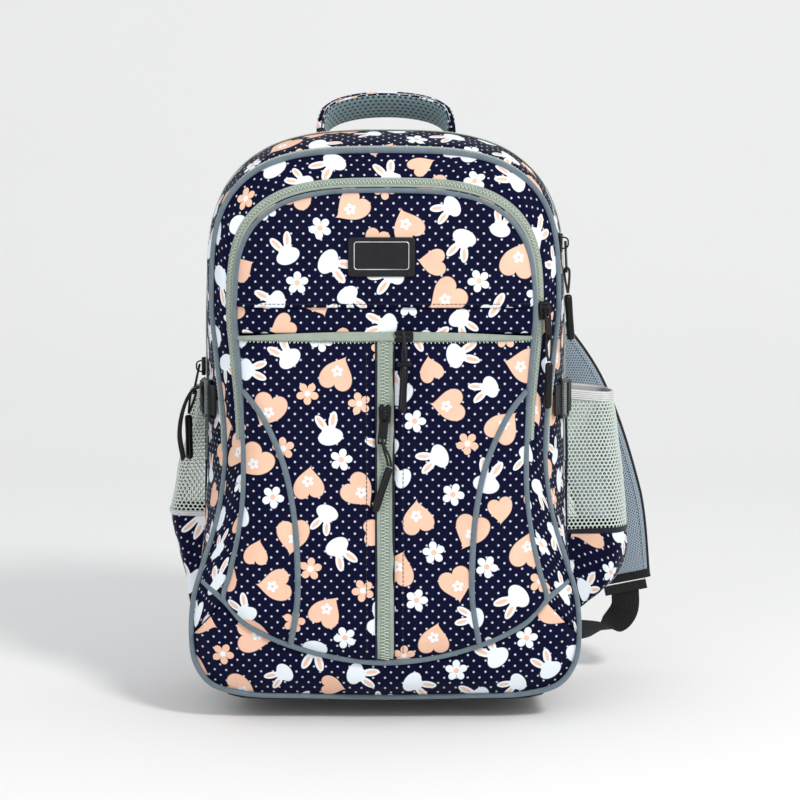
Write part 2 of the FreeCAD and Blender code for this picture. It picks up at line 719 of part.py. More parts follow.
def tab_cord(at, swing):
    """A cord's route over the bar of a tab and down to a grip that stands aside by swing."""
    front = [at(swing + 1.05, 40.6, 0.3), at(swing * 0.8 + 1.7, 34.2, 1.2),
             at(swing * 0.3 + 1.0, 27.2, 2.0), at(0, 20.3, 2.3)]
    back = [at(swing - 1.05, 40.6, 0.3), at(swing * 0.8 - 1.5, 34.4, -0.6),
            at(swing * 0.3 - 0.9, 27.4, -1.7), at(0, 20.3, -2.1)]
    return front + list(reversed(back))


def eye_cord(at):
    """A cord's route straight up through a slider's eye and down again in front of its bridge."""
    return [at(-1.05, 21.6, 0.4), at(-1.3, 14.6, 0.3), at(-0.4, 7.4, -0.2), at(0, -3.9, 0),
            at(0, -3.9, 4.8), at(0.9, 6.6, 4.3), at(1.6, 14.4, 2.8), at(1.05, 21.6, 0.4)]


def make_pull(name, eye, down, out, swing, hang):
    """A doubled cord below a slider, on a tab unless swing is None, and a grip on its two ends.

    down is the tab's direction, swing how far aside the grip starts and hang the grip's direction.
    """
    down, hang = Vec(*down).normalize(), Vec(*hang).normalize()
    across = out.cross(down).normalize()
    out = down.cross(across).normalize()
    at = from_eye(eye, across, down, out)
    pieces = []
    if swing is None:
        route, top = eye_cord(at), at(0, 22.5, 0.4)
    else:
        route, top = tab_cord(at, swing), at(swing, 41.6, 0.3)
        pieces.append(tab_shape(eye, across, out))
    soft(name + "_cord", tube(route, dim("cord_diameter") / 2))
    barrel = Part.makeCylinder(dim("grip_radius"), dim("grip_length"), top, hang)
    ends = [e for e in barrel.Edges if isinstance(e.Curve, Part.Circle)]
    pieces.append(barrel.makeFillet(1.2, ends))
    soft(name + "_grip", Part.makeCompound(pieces) if len(pieces) > 1 else pieces[0])


def frame_of(origin, across, outward):
    """A placement whose X is across the zip and whose Z points out of the bag."""
    across, outward = Vec(across).normalize(), Vec(outward).normalize()
    along = outward.cross(across)
    matrix = FreeCAD.Matrix(across.x, along.x, outward.x, origin.x,
                            across.y, along.y, outward.y, origin.y,
                            across.z, along.z, outward.z, origin.z, 0, 0, 0, 1)
    return FreeCAD.Placement(matrix)


# name: (point on the zip, outwards, how far the slider stands off, tab direction, swing, grip
# direction). A swing of None is a cord straight through the slider's eye.
PULLS = {
    "vertical_zip_pull": ((0, front_y(237), 237), (0, -1, 0), 0.6, (-0.10, -LEAN, -1), 8.0,
                          (-0.34, -LEAN, -1)),
    "pocket_zip_pull": ((15, front_y(ZIP_Z), ZIP_Z), (0, -1, 0), 0.6, (0.02, -LEAN, -1), None,
                        (-0.05, -LEAN - 0.19, -1)),
    "front_zip_pull": ((123.8, -73.7, 318), (0.746, -0.666, 0), 2.4, (0.06, 0.03, -1), -1.5,
                       (-0.03, 0.02, -1)),
    "second_zip_pull": ((138.4, -46.2, 371), (0.985, -0.17, 0), 2.4, (0.05, 0, -1), -1.0,
                        (0.07, -0.06, -1)),
    "main_zip_pull": ((-148.0, 0, 268), (-1, 0, 0), 2.2, (-0.22, 0.03, -1), 2.0,
                      (0.02, -0.02, -1)),
}
LENGTHWAYS = {"pocket_zip_pull": Vec(-1, 0, 0)}


def make_pulls():
    for name, (point, outward, proud, down, swing, hang) in PULLS.items():
        out = Vec(*outward).normalize()
        seat = Vec(*point) + out * proud
        along = LENGTHWAYS.get(name, Vec(0, 0, 1))
        make_slider(name, frame_of(seat, along.cross(out), out))
        eye = seat + out * (dim("slider_thick") + EYE_RISE)
        make_pull(name, eye, down, out, swing, hang)


# ---------------------------------------------------------------- build, check, export

seam_binding = make_rear()
make_back_pads()
make_base()
make_middle(seam_binding)
make_dividers()
make_band()
make_pipings()
front_fold = [make_front_panel(), make_front_zips()]
soft("front_panel_fold", Part.makeCompound(front_fold))
make_label()
make_pockets()
make_shoulder_straps()
make_handle()
make_side_straps()
make_pulls()
doc.recompute()

for thing in doc.Objects:
    bad = [s for s in thing.State if s in ("Invalid", "Error")]
    if bad:
        raise RuntimeError(f"{thing.Name} failed: {bad}")
for name, thing in parts.items():
    shape = thing.Shape
    if shape.isNull() or not shape.isValid() or not shape.Solids:
        raise RuntimeError(f"{name} has no valid solid")
    print("%-24s solids %d volume %.0f" % (name, len(shape.Solids), shape.Volume))

os.makedirs("parts", exist_ok=True)
for name, thing in parts.items():
    thing.Shape.exportStep(f"parts/{name}.step")
print(len(parts), "sub-parts")
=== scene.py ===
import math

import bpy
import numpy as np
from mathutils import Matrix, Vector, noise


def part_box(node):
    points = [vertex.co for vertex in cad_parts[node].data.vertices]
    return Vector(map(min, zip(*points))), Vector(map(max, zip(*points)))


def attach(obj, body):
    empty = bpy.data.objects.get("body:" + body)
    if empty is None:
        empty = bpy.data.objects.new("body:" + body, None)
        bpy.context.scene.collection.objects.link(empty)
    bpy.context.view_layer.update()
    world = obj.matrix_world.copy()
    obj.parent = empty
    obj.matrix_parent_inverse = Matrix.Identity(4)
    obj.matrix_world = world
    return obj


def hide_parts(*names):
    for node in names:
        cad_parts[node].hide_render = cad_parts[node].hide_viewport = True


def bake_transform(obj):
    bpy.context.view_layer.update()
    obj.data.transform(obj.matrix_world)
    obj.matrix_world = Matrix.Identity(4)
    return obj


# School backpack: soft goods, zips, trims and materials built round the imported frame.
# Sizes are in millimetres and turned into metres where a mesh is made.

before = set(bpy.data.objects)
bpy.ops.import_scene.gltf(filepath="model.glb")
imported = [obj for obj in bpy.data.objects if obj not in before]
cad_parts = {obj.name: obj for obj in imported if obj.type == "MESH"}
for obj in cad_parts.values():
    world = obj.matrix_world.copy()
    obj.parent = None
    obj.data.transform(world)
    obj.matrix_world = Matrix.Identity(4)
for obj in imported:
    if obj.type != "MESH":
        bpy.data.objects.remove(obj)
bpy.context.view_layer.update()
MM = 0.001

# ---------------------------------------------------------------- driving sizes

BAG_CORE = np.array([0, 20.0, 220.0])
BEHIND_FACE = (0, 100, 200)
REAR_Y = 88.0
SEAM = 5.5
OUTER_FOOT = -70.0
INNER_FOOT = -92.0
LEAN = 18.0 / 460.0
FOLD_Z = 185.0
ZIP_END_Z = 200.0
POCKET_ZIP_Z = 298.0
FLAP_Z = 321.0
PIPE_RADIUS = 2.4

MAIN_SIDE = [(0, 4.2), (65, 4.2), (112, 4.8), (139, 11.5), (150.5, 30), (152.5, 55), (152, 85),
             (151, 116), (149.5, 150), (148, 190), (147.5, 225), (147.5, 275), (147, 325)]
OUTER_SIDE = [(0, 5), (65, 6), (115, 8), (141, 16), (153, 33), (156, 55), (154, 85),
              (145, 116), (134.5, 150), (128.5, 190), (128.5, 225), (134, 275), (138.5, 325)]
INNER_SIDE = [(0, 37), (30, 39.5), (60, 46), (90, 56.5), (113, 69.5), (128, 86), (123, 109),
              (116.5, 138), (112.5, 170), (112, 205), (113, 240), (116, 280), (118.5, 312)]
SMILE_INDEX = 5
FRONT_ZIP_SHARE, SECOND_ZIP_SHARE = 0.79, 0.875
TRIM_ROUTE = [(112, 254), (98, 236), (81, 199), (72.5, 160), (69.5, 122), (69.5, 88), (75, 53)]


# ---------------------------------------------------------------- curves

def arch(shoulder, top, power, steps=5):
    """Superellipse points from the shoulder, which is left out, up to the top centre."""
    half, foot = shoulder
    found = []
    for step in range(1, steps):
        turn = math.radians(90.0 * step / steps)
        found.append((half * math.cos(turn) ** (2 / power),
                      foot + (top - foot) * math.sin(turn) ** (2 / power)))
    return found + [(0, top)]


def closed_outline(side, top, power):
    right = side + arch(side[-1], top, power)
    return np.array(right + [(-x, z) for x, z in reversed(right[1:-1])], float)


def inset(outline, distance):
    along = np.roll(outline, -1, 0) - np.roll(outline, 1, 0)
    along /= np.linalg.norm(along, axis=1)[:, None]
    return outline + np.column_stack([-along[:, 1], along[:, 0]]) * distance


def smooth(points, per, closed=False):
    """A centripetal Catmull-Rom curve through the points, per samples for each span."""
    points = np.asarray(points, float)
    if closed:
        p = np.vstack([points[-1], points, points[:2]])
    else:
        p = np.vstack([2 * points[0] - points[1], points, 2 * points[-1] - points[-2]])
    steps = np.sqrt(np.linalg.norm(np.diff(p, axis=0), axis=1)) + 1e-9
    found = []
    for i in range(1, len(p) - 2):
        a, b, c = steps[i - 1], steps[i], steps[i + 1]
        m1 = ((p[i] - p[i - 1]) / a - (p[i + 1] - p[i - 1]) / (a + b)) * b + p[i + 1] - p[i]
        m2 = ((p[i + 2] - p[i + 1]) / c - (p[i + 2] - p[i]) / (b + c)) * b + p[i + 1] - p[i]
        for s in range(per):
            t = s / per
            found.append((2 * t ** 3 - 3 * t * t + 1) * p[i] + (t ** 3 - 2 * t * t + t) * m1
                         + (-2 * t ** 3 + 3 * t * t) * p[i + 1] + (t ** 3 - t * t) * m2)
    if not closed:
        found.append(p[-2])
    return np.array(found)


def run_along(path):
    """Distance along a polyline at each of its points."""
    return np.r_[0, np.cumsum(np.linalg.norm(np.diff(path, axis=0), axis=1))]


def resample(path, step):
    """Points evenly spaced along a polyline, about step apart, with both ends kept."""
    along = run_along(path)
    count = max(2, int(round(along[-1] / step)) + 1)
    at = np.linspace(0, along[-1], count)
    return np.column_stack([np.interp(at, along, path[:, k]) for k in range(path.shape[1])])


def unit(v):
    return v / (np.linalg.norm(v, axis=-1, keepdims=True) + 1e-12)


def heading(path):
    return unit(np.gradient(path, axis=0))


class Ring:
    """A sewn outline in a plane that leans back: y = foot + lean * z."""

    def __init__(self, outline, foot, lean=0.0):
        self.outline, self.foot, self.lean = outline, foot, lean

    def toward(self, other, share):
        here, there = self.outline, other.outline
        return Ring(here + (there - here) * share, self.foot + (other.foot - self.foot) * share,
                    self.lean + (other.lean - self.lean) * share)

    def line(self, depth=0.0, per=8):
        """The closed curve as points, first point repeated at the end."""
        flat = smooth(inset(self.outline, depth), per, True)
        flat = np.vstack([flat, flat[:1]])
        return np.column_stack([flat[:, 0], self.foot + self.lean * flat[:, 1], flat[:, 1]])


MAIN = closed_outline(MAIN_SIDE, 462.0, 3.0)
OUTER = closed_outline(OUTER_SIDE, 444.0, 3.3)
INNER = closed_outline(INNER_SIDE, 412.0, 3.2)
BACK = Ring(inset(MAIN, 3.0), REAR_Y)
SEAM_REAR, SEAM_FRONT = Ring(MAIN, SEAM), Ring(MAIN, -SEAM)
AT_OUTER = Ring(OUTER, OUTER_FOOT, LEAN)
AT_INNER = Ring(INNER, INNER_FOOT, LEAN)
POINTS_PER_SPAN = 8
SPANS = len(MAIN)


# ---------------------------------------------------------------- meshes

def shaped(name, verts, faces, materials, uv=None, face_material=None):
    """A mesh object in metres from points in millimetres."""
    data = bpy.data.meshes.new(name)
    points = (np.asarray(verts, float) * MM).tolist()
    data.from_pydata(points, [], [list(map(int, f)) for f in faces])
    for m in materials:
        data.materials.append(m)
    if face_material is not None:
        data.polygons.foreach_set("material_index", np.asarray(face_material, np.int32))
    if uv is not None:
        layer = data.uv_layers.new(name="UVMap")
        loops = np.zeros(len(data.loops), np.int32)
        data.loops.foreach_get("vertex_index", loops)
        layer.data.foreach_set("uv", (np.asarray(uv, float)[loops] * MM).astype(np.float32).ravel())
    data.polygons.foreach_set("use_smooth", [True] * len(data.polygons))
    data.update()
    made = bpy.data.objects.new(name, data)
    bpy.context.scene.collection.objects.link(made)
    return made


def grid_faces(rows, cols, close_cols=False):
    faces = []
    for r in range(rows - 1):
        for c in range(cols if close_cols else cols - 1):
            here, ahead = r * cols + c, r * cols + (c + 1) % cols
            faces.append((here, ahead, ahead + cols, here + cols))
    return faces


def lengths(grid):
    """UV in millimetres for a grid of points: length along its rows and across them."""
    along = np.zeros(grid.shape[:2])
    across = np.zeros(grid.shape[:2])
    along[:, 1:] = np.cumsum(np.linalg.norm(np.diff(grid, axis=1), axis=2), axis=1)
    across[1:] = np.cumsum(np.linalg.norm(np.diff(grid, axis=0), axis=2), axis=0)
    middle = along[len(along) // 2]
    return np.dstack([np.broadcast_to(middle, along.shape), across])


def normals_of(grid):
    du = np.gradient(grid, axis=1)
    dv = np.gradient(grid, axis=0)
    return unit(np.cross(du, dv))


def away_from(grid, normals, centre):
    flip = ((grid - centre) * normals).sum(2).mean() < 0
    return -normals if flip else normals


def ripple(points, scale, seed):
    """Smooth noise from about -1 to 1 at each point."""
    flat = points.reshape(-1, points.shape[-1])
    found = [noise.noise(Vector((p[0] / scale, p[1] / scale, p[2] / scale + seed))) for p in flat]
    return np.array(found).reshape(points.shape[:-1]) * 1.8


def surface(name, grid, materials, uv=None, thickness=1.2, centre=(0, 0, 200)):
    """A sheet of fabric through a grid of points, with thickness inwards and a lining face."""
    rows, cols = grid.shape[:2]
    faces = np.array(grid_faces(rows, cols))
    outward = ((grid - np.array(centre)) * normals_of(grid)).sum(2).mean() > 0
    if not outward:
        faces = faces[:, ::-1]
    uv = lengths(grid) if uv is None else uv
    made = shaped(name, grid.reshape(-1, 3), faces, materials, uv.reshape(-1, 2))
    if thickness:
        shell = made.modifiers.new("thickness", "SOLIDIFY")
        shell.thickness = thickness * MM
        shell.offset = -1
        shell.material_offset = len(materials) - 1
        shell.material_offset_rim = 0
    return made


def sweep(name, path, out, profile, materials, side_material=None, scale=None):
    """A closed (across, out) profile carried along a path whose outward direction is given."""
    path = np.asarray(path, float)
    out = np.broadcast_to(np.asarray(out, float), path.shape)
    along = heading(path)
    across = unit(np.cross(along, out))
    up = unit(np.cross(across, along))
    profile = np.asarray(profile, float)
    size = np.ones(len(path)) if scale is None else np.asarray(scale, float)
    verts = (path[:, None] + across[:, None] * (profile[None, :, :1] * size[:, None, None])
             + up[:, None] * profile[None, :, 1:])
    rows, cols = len(path), len(profile)
    faces = grid_faces(rows, cols, close_cols=True)
    run = run_along(path)
    girth = run_along(profile)
    uv = np.dstack([np.broadcast_to(run[:, None], (rows, cols)),
                    np.broadcast_to(girth[None], (rows, cols))])
    marks = None
    if side_material is not None:
        marks = [side_material[i % cols] for i in range(len(faces))] + [0, 0]
    faces.append(tuple(range(cols)))
    faces.append(tuple((rows - 1) * cols + i for i in reversed(range(cols))))
    return shaped(name, verts.reshape(-1, 3), faces, materials, uv.reshape(-1, 2), marks)


def circle(radius, sides):
    turn = np.linspace(0, 2 * math.pi, sides, endpoint=False)
    return np.column_stack([radius * np.cos(turn), radius * np.sin(turn)])


def rounded_bar(width, height, corner, steps=3):
    """A rounded rectangle as (across, out) points, anticlockwise from its lower right corner."""
    found = []
    for k, (sx, sy) in enumerate(((1, -1), (1, 1), (-1, 1), (-1, -1))):
        cx, cy = sx * (width / 2 - corner), sy * (height / 2 - corner)
        for s in range(steps + 1):
            turn = math.radians(-90 + 90 * k + 90 * s / steps)
            found.append((cx + corner * math.cos(turn), cy + corner * math.sin(turn)))
    return np.array(found)


def repeated(name, template, faces, places, materials):
    """Many copies of a small template: places are (origin, x, y, z) rows in millimetres."""
    template = np.asarray(template, float)
    verts, all_faces = [], []
    for i, (origin, x, y, z) in enumerate(places):
        verts.append(origin + template[:, :1] * x + template[:, 1:2] * y + template[:, 2:] * z)
        all_faces += [[v + i * len(template) for v in f] for f in faces]
    return shaped(name, np.vstack(verts), all_faces, materials)


def pill(length, width, height):
    """A flattened bar with tapered ends, along X."""
    rings = [(-0.5, 0.35), (-0.32, 1.0), (0.32, 1.0), (0.5, 0.35)]
    verts, faces = [], []
    for x, s in rings:
        for k in range(6):
            turn = math.radians(60 * k + 30)
            verts.append((x * length, s * width / 2 * math.cos(turn),
                          s * height / 2 * math.sin(turn)))
    for r in range(3):
        for k in range(6):
            n = (k + 1) % 6
            faces.append((r * 6 + k, (r + 1) * 6 + k, (r + 1) * 6 + n, r * 6 + n))
    faces += [tuple(range(6)), tuple(reversed(range(18, 24)))]
    return verts, faces


def frames_along(path, out, step):
    """(point, along, across, up) every step along a path with outward directions."""
    path = np.asarray(path, float)
    out = np.broadcast_to(np.asarray(out, float), path.shape)
    both = resample(np.hstack([path, out]), step)
    points, up = both[:, :3], unit(both[:, 3:])
    along = heading(points)
    across = unit(np.cross(up, along))
    return list(zip(points, along, across, unit(np.cross(along, across))))


def stitches(name, path, out, lift=0.2, pitch=3.4, length=2.6, thick=0.55):
    verts, faces = pill(length, thick, thick * 0.8)
    places = [(p + u * lift, a, c, u) for p, a, c, u in frames_along(path, out, pitch)]
    return repeated(name, verts, faces, places, [THREAD])


# ---------------------------------------------------------------- node expressions

class Ex:
    """A number in a node tree, so that patterns can be written as arithmetic."""

    def __init__(self, tree, socket):
        self.tree, self.socket = tree, socket

    def math(self, kind, *others):
        node = self.tree.nodes.new("ShaderNodeMath")
        node.operation = kind
        for i, value in enumerate((self,) + others):
            if isinstance(value, Ex):
                self.tree.links.new(value.socket, node.inputs[i])
            else:
                node.inputs[i].default_value = value
        return Ex(self.tree, node.outputs[0])

    def __add__(self, o): return self.math("ADD", o)
    def __radd__(self, o): return self.math("ADD", o)
    def __sub__(self, o): return self.math("SUBTRACT", o)
    def __rsub__(self, o): return (self * -1.0).math("ADD", o)
    def __mul__(self, o): return self.math("MULTIPLY", o)
    def __rmul__(self, o): return self.math("MULTIPLY", o)
    def __truediv__(self, o): return self.math("DIVIDE", o)
    def floor(self): return self.math("FLOOR")
    def fract(self): return self.math("FRACT")
    def abs(self): return self.math("ABSOLUTE")
    def sqrt(self): return self.math("SQRT")
    def sin(self): return self.math("SINE")
    def cos(self): return self.math("COSINE")
    def low(self, o): return self.math("MINIMUM", o)
    def high(self, o): return self.math("MAXIMUM", o)
    def atan2(self, o): return self.math("ARCTAN2", o)

    def inside(self, edge, soft):
        """1 where the number is below edge, 0 above, with a soft step."""
        node = self.tree.nodes.new("ShaderNodeMapRange")
        node.interpolation_type = "SMOOTHSTEP"
        node.inputs["From Min"].default_value = edge + soft
        node.inputs["From Max"].default_value = edge - soft
        self.tree.links.new(self.socket, node.inputs["Value"])
        return Ex(self.tree, node.outputs["Result"])


def random_of(tree, x, y, shift):
    """Three random numbers for a cell."""
    joined = tree.nodes.new("ShaderNodeCombineXYZ")
    tree.links.new((x + shift).socket, joined.inputs[0])
    tree.links.new(y.socket, joined.inputs[1])
    white = tree.nodes.new("ShaderNodeTexWhiteNoise")
    white.noise_dimensions = "2D"
    tree.links.new(joined.outputs[0], white.inputs["Vector"])
    split = tree.nodes.new("ShaderNodeSeparateColor")
    tree.links.new(white.outputs["Color"], split.inputs[0])
    return [Ex(tree, split.outputs[i]) for i in range(3)]


def mix(tree, share, a, b):
    node = tree.nodes.new("ShaderNodeMix")
    node.data_type = "RGBA"
    tree.links.new(share.socket, node.inputs[0])
    for socket, value in ((node.inputs[6], a), (node.inputs[7], b)):
        if isinstance(value, tuple):
            socket.default_value = (*value, 1.0)
        else:
            tree.links.new(value, socket)
    return node.outputs[2]


def new_material(name, color, roughness, specular, sheen=0.0, coat=0.0, metallic=0.0):
    made = bpy.data.materials.new(name)
    made.use_nodes = True
    tree = made.node_tree
    shader = tree.nodes["Principled BSDF"]
    shader.inputs["Base Color"].default_value = (*color, 1.0)
    shader.inputs["Roughness"].default_value = roughness
    shader.inputs["Metallic"].default_value = metallic
    shader.inputs["Sheen Weight"].default_value = sheen
    shader.inputs["Coat Weight"].default_value = coat
    shader.inputs["Specular IOR Level"].default_value = specular
    return made, tree, shader


def coordinates(tree, kind="UV", scale=1.0):
    """U and V as numbers; the UV map is in metres, so scale 1000 gives millimetres."""
    node = tree.nodes.new("ShaderNodeTexCoord")
    split = tree.nodes.new("ShaderNodeSeparateXYZ")
    tree.links.new(node.outputs[kind], split.inputs[0])
    return [Ex(tree, split.outputs[i]) * scale for i in range(3)], node.outputs[kind]


def bump(tree, shader, height, strength, distance):
    node = tree.nodes.new("ShaderNodeBump")
    node.inputs["Strength"].default_value = strength
    node.inputs["Distance"].default_value = distance
    tree.links.new(height.socket, node.inputs["Height"])
    tree.links.new(node.outputs[0], shader.inputs["Normal"])


def noise_of(tree, vector, scale, detail=3.0):
    node = tree.nodes.new("ShaderNodeTexNoise")
    node.inputs["Scale"].default_value = scale
    node.inputs["Detail"].default_value = detail
    tree.links.new(vector, node.inputs["Vector"])
    return Ex(tree, node.outputs["Fac"])


def circle_at(x, y, cx, cy, rx, ry):
    """Below 1 inside an ellipse."""
    dx, dy = (x - cx) / rx, (y - cy) / ry
    return dx * dx + dy * dy


NAVY = (0.0034, 0.0042, 0.0240)
PEACH = (0.92, 0.61, 0.45)
PEACH_DEEP = (0.84, 0.50, 0.36)
PALE = (0.84, 0.90, 0.96)


def flower(x, y, size):
    """(petals, centre) masks of a five-petalled flower."""
    x, y = x / size, y / size
    turn = y.atan2(x)
    fold = ((turn * (5 / (2 * math.pi)) + 0.5).fract() - 0.5) * (2 * math.pi / 5)
    reach = (x * x + y * y).sqrt()
    px, py = reach * fold.cos(), reach * fold.sin()
    petals = circle_at(px, py, 0.62, 0.0, 0.38, 0.33).inside(1.0, 0.08)
    core = (reach / 0.25).inside(1.0, 0.10)
    return petals.high((reach / 0.40).inside(1.0, 0.08)), core


def heart(x, y):
    """A heart mask about one unit wide each side, with its point swung aside."""
    below = (y * -1.0).high(0.0)
    x = x + below * below * 0.42
    dip = y * 1.12 - (x.abs() + 0.0004).sqrt() * 0.74 + 0.06
    return (x * x + dip * dip).inside(1.0, 0.07)


def rabbit(x, y):
    """(head, inner ear) masks of a plain rabbit head with two splayed ears and no face."""
    mx = x.abs()
    across, along = mx * 0.927 - y * 0.375, mx * 0.375 + y * 0.927
    cheek = circle_at(x, y, 0.0, -0.46, 0.70, 0.47)
    crown = circle_at(x, y, 0.0, -0.24, 0.46, 0.42)
    ear = circle_at(across, along, 0.165, 0.50, 0.235, 0.52)
    inner = circle_at(across, along, 0.165, 0.56, 0.105, 0.34)
    return cheek.low(crown).low(ear).inside(1.0, 0.09), inner.inside(1.0, 0.12)


def scatter(tree, gx, gy, cell, jitter, seeds):
    """Coordinates in mm about a motif's middle, turned at random, and the cell's spare numbers."""
    cx, cy = gx.floor(), gy.floor()
    kind, turn, jx = random_of(tree, cx, cy, seeds[0])
    jy, grow, shade = random_of(tree, cx, cy, seeds[1])
    x = ((gx - cx) - 0.5 + (jx - 0.5) * jitter) * cell
    y = ((gy - cy) - 0.5 + (jy - 0.5) * jitter) * cell
    angle = turn * (2 * math.pi)
    ca, sa = angle.cos(), angle.sin()
    return x * ca - y * sa, x * sa + y * ca, kind, grow, shade


def print_color(tree):
    """Hearts, rabbit heads, flowers and dots on navy, scattered by cell, as a colour socket."""
    (u, v, _), _ = coordinates(tree, "UV", 1000.0)
    cell = 45.0
    cs, sn = math.cos(0.30), math.sin(0.30)
    gx, gy = (u * cs - v * sn) / cell, (u * sn + v * cs) / cell

    # dots on a staggered grid
    pitch = 6.7
    dx, dy = (u + v) / (pitch * 1.4142), (u - v) / (pitch * 1.4142)
    ex, ey = (dx.fract() - 0.5) * pitch, (dy.fract() - 0.5) * pitch
    dots = ((ex * ex + ey * ey).sqrt() / 0.86).inside(1.0, 0.22)
    color = mix(tree, dots * 0.9, NAVY, (0.66, 0.68, 0.80))

    uneven = noise_of(tree, coordinates(tree, "UV", 1.0)[1], 55.0, 2.0)
    peach = mix(tree, uneven, PEACH_DEEP, PEACH)

    # small motifs on the cells' corners
    x, y, kind, grow, shade = scatter(tree, gx + 0.5, gy + 0.5, cell, 0.16, (213.5, 331.5))
    is_flower = kind.inside(0.52, 0.001)
    is_heart = kind.inside(0.76, 0.001) * (1.0 - is_flower)
    is_rabbit = kind.inside(0.95, 0.001) * (1.0 - is_flower - is_heart)
    petals, core = flower(x, y, 9.0)
    pale = shade.inside(0.5, 0.001)
    color = mix(tree, petals * is_flower, color, mix(tree, pale, peach, PALE))
    color = mix(tree, core * is_flower, color, mix(tree, pale, PALE, peach))
    small = grow * 1.5 + 9.2
    color = mix(tree, heart(x / small, y / small) * is_heart, color, peach)
    small = grow * 1.5 + 11.5
    head, inner = rabbit(x / small, y / small)
    color = mix(tree, head * is_rabbit, color, PALE)
    color = mix(tree, inner * is_rabbit, color, peach)

    # large motifs in the cells' middles
    x, y, kind, grow, shade = scatter(tree, gx, gy, cell, 0.18, (3.5, 71.5))
    is_heart = kind.inside(0.54, 0.001)
    is_rabbit = 1.0 - is_heart
    size = grow * 2.0 + 12.2
    petals, core = flower(x, y - 1.0, 4.6)
    color = mix(tree, heart(x / size, y / size) * is_heart, color, peach)
    color = mix(tree, petals * is_heart, color, PALE)
    color = mix(tree, core * is_heart, color, PEACH_DEEP)
    size = grow * 1.6 + 13.4
    head, inner = rabbit(x / size, y / size)
    color = mix(tree, head * is_rabbit, color, PALE)
    return mix(tree, inner * is_rabbit, color, peach)


def printed_fabric():
    made, tree, shader = new_material("printed_twill", NAVY, 0.5, specular=0.04)
    tree.links.new(print_color(tree), shader.inputs["Base Color"])
    (u, v, _), vector = coordinates(tree, "UV", 1000.0)
    twill = ((u + v) * (2 * math.pi / 0.9)).sin() * 0.5
    twill = twill + ((u - v * 0.4) * (2 * math.pi / 0.55)).sin() * 0.35
    broad = noise_of(tree, vector, 90.0, 4.0)
    bump(tree, shader, twill + broad * 1.6, 0.35, 0.0006)
    rough = noise_of(tree, vector, 40.0, 3.0) * 0.16 + 0.36
    tree.links.new(rough.socket, shader.inputs["Roughness"])
    return made


def two_tone(name, color, roughness, dark, light, pattern, strength, depth,
             space=("UV", 1000.0), **look):
    """A patterned material: pattern(u, v, uneven) gives the share of light over dark and a bump."""
    made, tree, shader = new_material(name, color, roughness, **look)
    (u, v, _), vector = coordinates(tree, *space)

    def uneven(scale, detail=3.0):
        return noise_of(tree, vector, scale, detail)

    share, height = pattern(u, v, uneven)
    low, high = (tuple(min(1.0, c * s) for c in color) for s in (dark, light))
    tree.links.new(mix(tree, share, low, high), shader.inputs["Base Color"])
    bump(tree, shader, height, strength, depth)
    return made


def woven(name, color, pitch, roughness, contrast=0.25, sheen=0.05):
    """A plain weave: ribs both ways, with uneven colour."""
    def pattern(u, v, uneven):
        height = (u * (2 * math.pi / pitch)).sin() * (v * (2 * math.pi / pitch)).sin()
        return (height * 0.25 + uneven(120.0, 4.0) * 0.9 - 0.1).high(0.0).low(1.0), height
    return two_tone(name, color, roughness, 1 - contrast, 1 + contrast, pattern, 0.5, 0.0005,
                    sheen=sheen, specular=0.3)


def herringbone(name, color):
    """Zip tape: narrow slanted ribs that change direction."""
    def pattern(u, v, uneven):
        zig = ((v / 2.4).fract() - 0.5).abs() * 2.4
        ribs = ((u + zig * 1.4) * (2 * math.pi / 1.1)).sin()
        return (ribs * 0.32 + uneven(90.0) * 0.6 + 0.15).high(0.0).low(1.0), ribs
    return two_tone(name, color, 0.62, 0.62, 1.25, pattern, 0.6, 0.0004, sheen=0.25, specular=0.35)


def yarn(name, color, roughness, scale=900.0):
    """Thread and net yarn: fine uneven fibres in object space."""
    def pattern(u, v, uneven):
        fibres = uneven(scale)
        return fibres, fibres
    return two_tone(name, color, roughness, 0.75, 1.15, pattern, 0.4, 0.0002, ("Object", 1.0),
                    sheen=0.05, specular=0.35)


def ribbed(name, color, pitch, roughness, lengthways=True):
    """Webbing and elastic: ribs along one direction."""
    def pattern(u, v, uneven):
        first, second = (v, u) if lengthways else (u, v)
        rib = (first * (2 * math.pi / pitch)).sin()
        cross = (second * (2 * math.pi / (pitch * 0.6))).sin() * 0.35
        share = rib * 0.3 + cross * 0.3 + uneven(200.0) * 0.5 + 0.2
        return share.high(0.0).low(1.0), rib + cross
    return two_tone(name, color, roughness, 0.55, 1.0, pattern, 0.7, 0.0005, sheen=0.03,
                    specular=0.25)


def spacer_mesh(name, color, pitch):
    """Knitted spacer mesh: rows of oval holes between thick yarns, with painted shade in the holes.
    """
    made, tree, shader = new_material(name, color, 0.8, sheen=0.3, specular=0.25)
    (u, v, _), vector = coordinates(tree, "UV", 1000.0)
    a, b = u / pitch, v / (pitch * 0.8)
    shift = (b.floor() * 0.5).fract()
    ex = ((a + shift).fract() - 0.5) * 2.0
    ey = (b.fract() - 0.5) * 2.0
    hole = (ex * ex * 2.2 + ey * ey * 2.0).sqrt()
    mask = hole.inside(0.78, 0.22)
    # painted shade: the holes are coloured near black for the shade inside them, and the same mask
    # sinks them in the bump
    dark = tuple(c * 0.12 for c in color)
    yarn = noise_of(tree, vector, 400.0, 2.0)
    lit = mix(tree, yarn, tuple(c * 0.8 for c in color), tuple(min(1, c * 1.25) for c in color))
    tree.links.new(mix(tree, mask, lit, dark), shader.inputs["Base Color"])
    bump(tree, shader, mask * -1.0 + 1.0, 0.8, 0.0012)
    return made


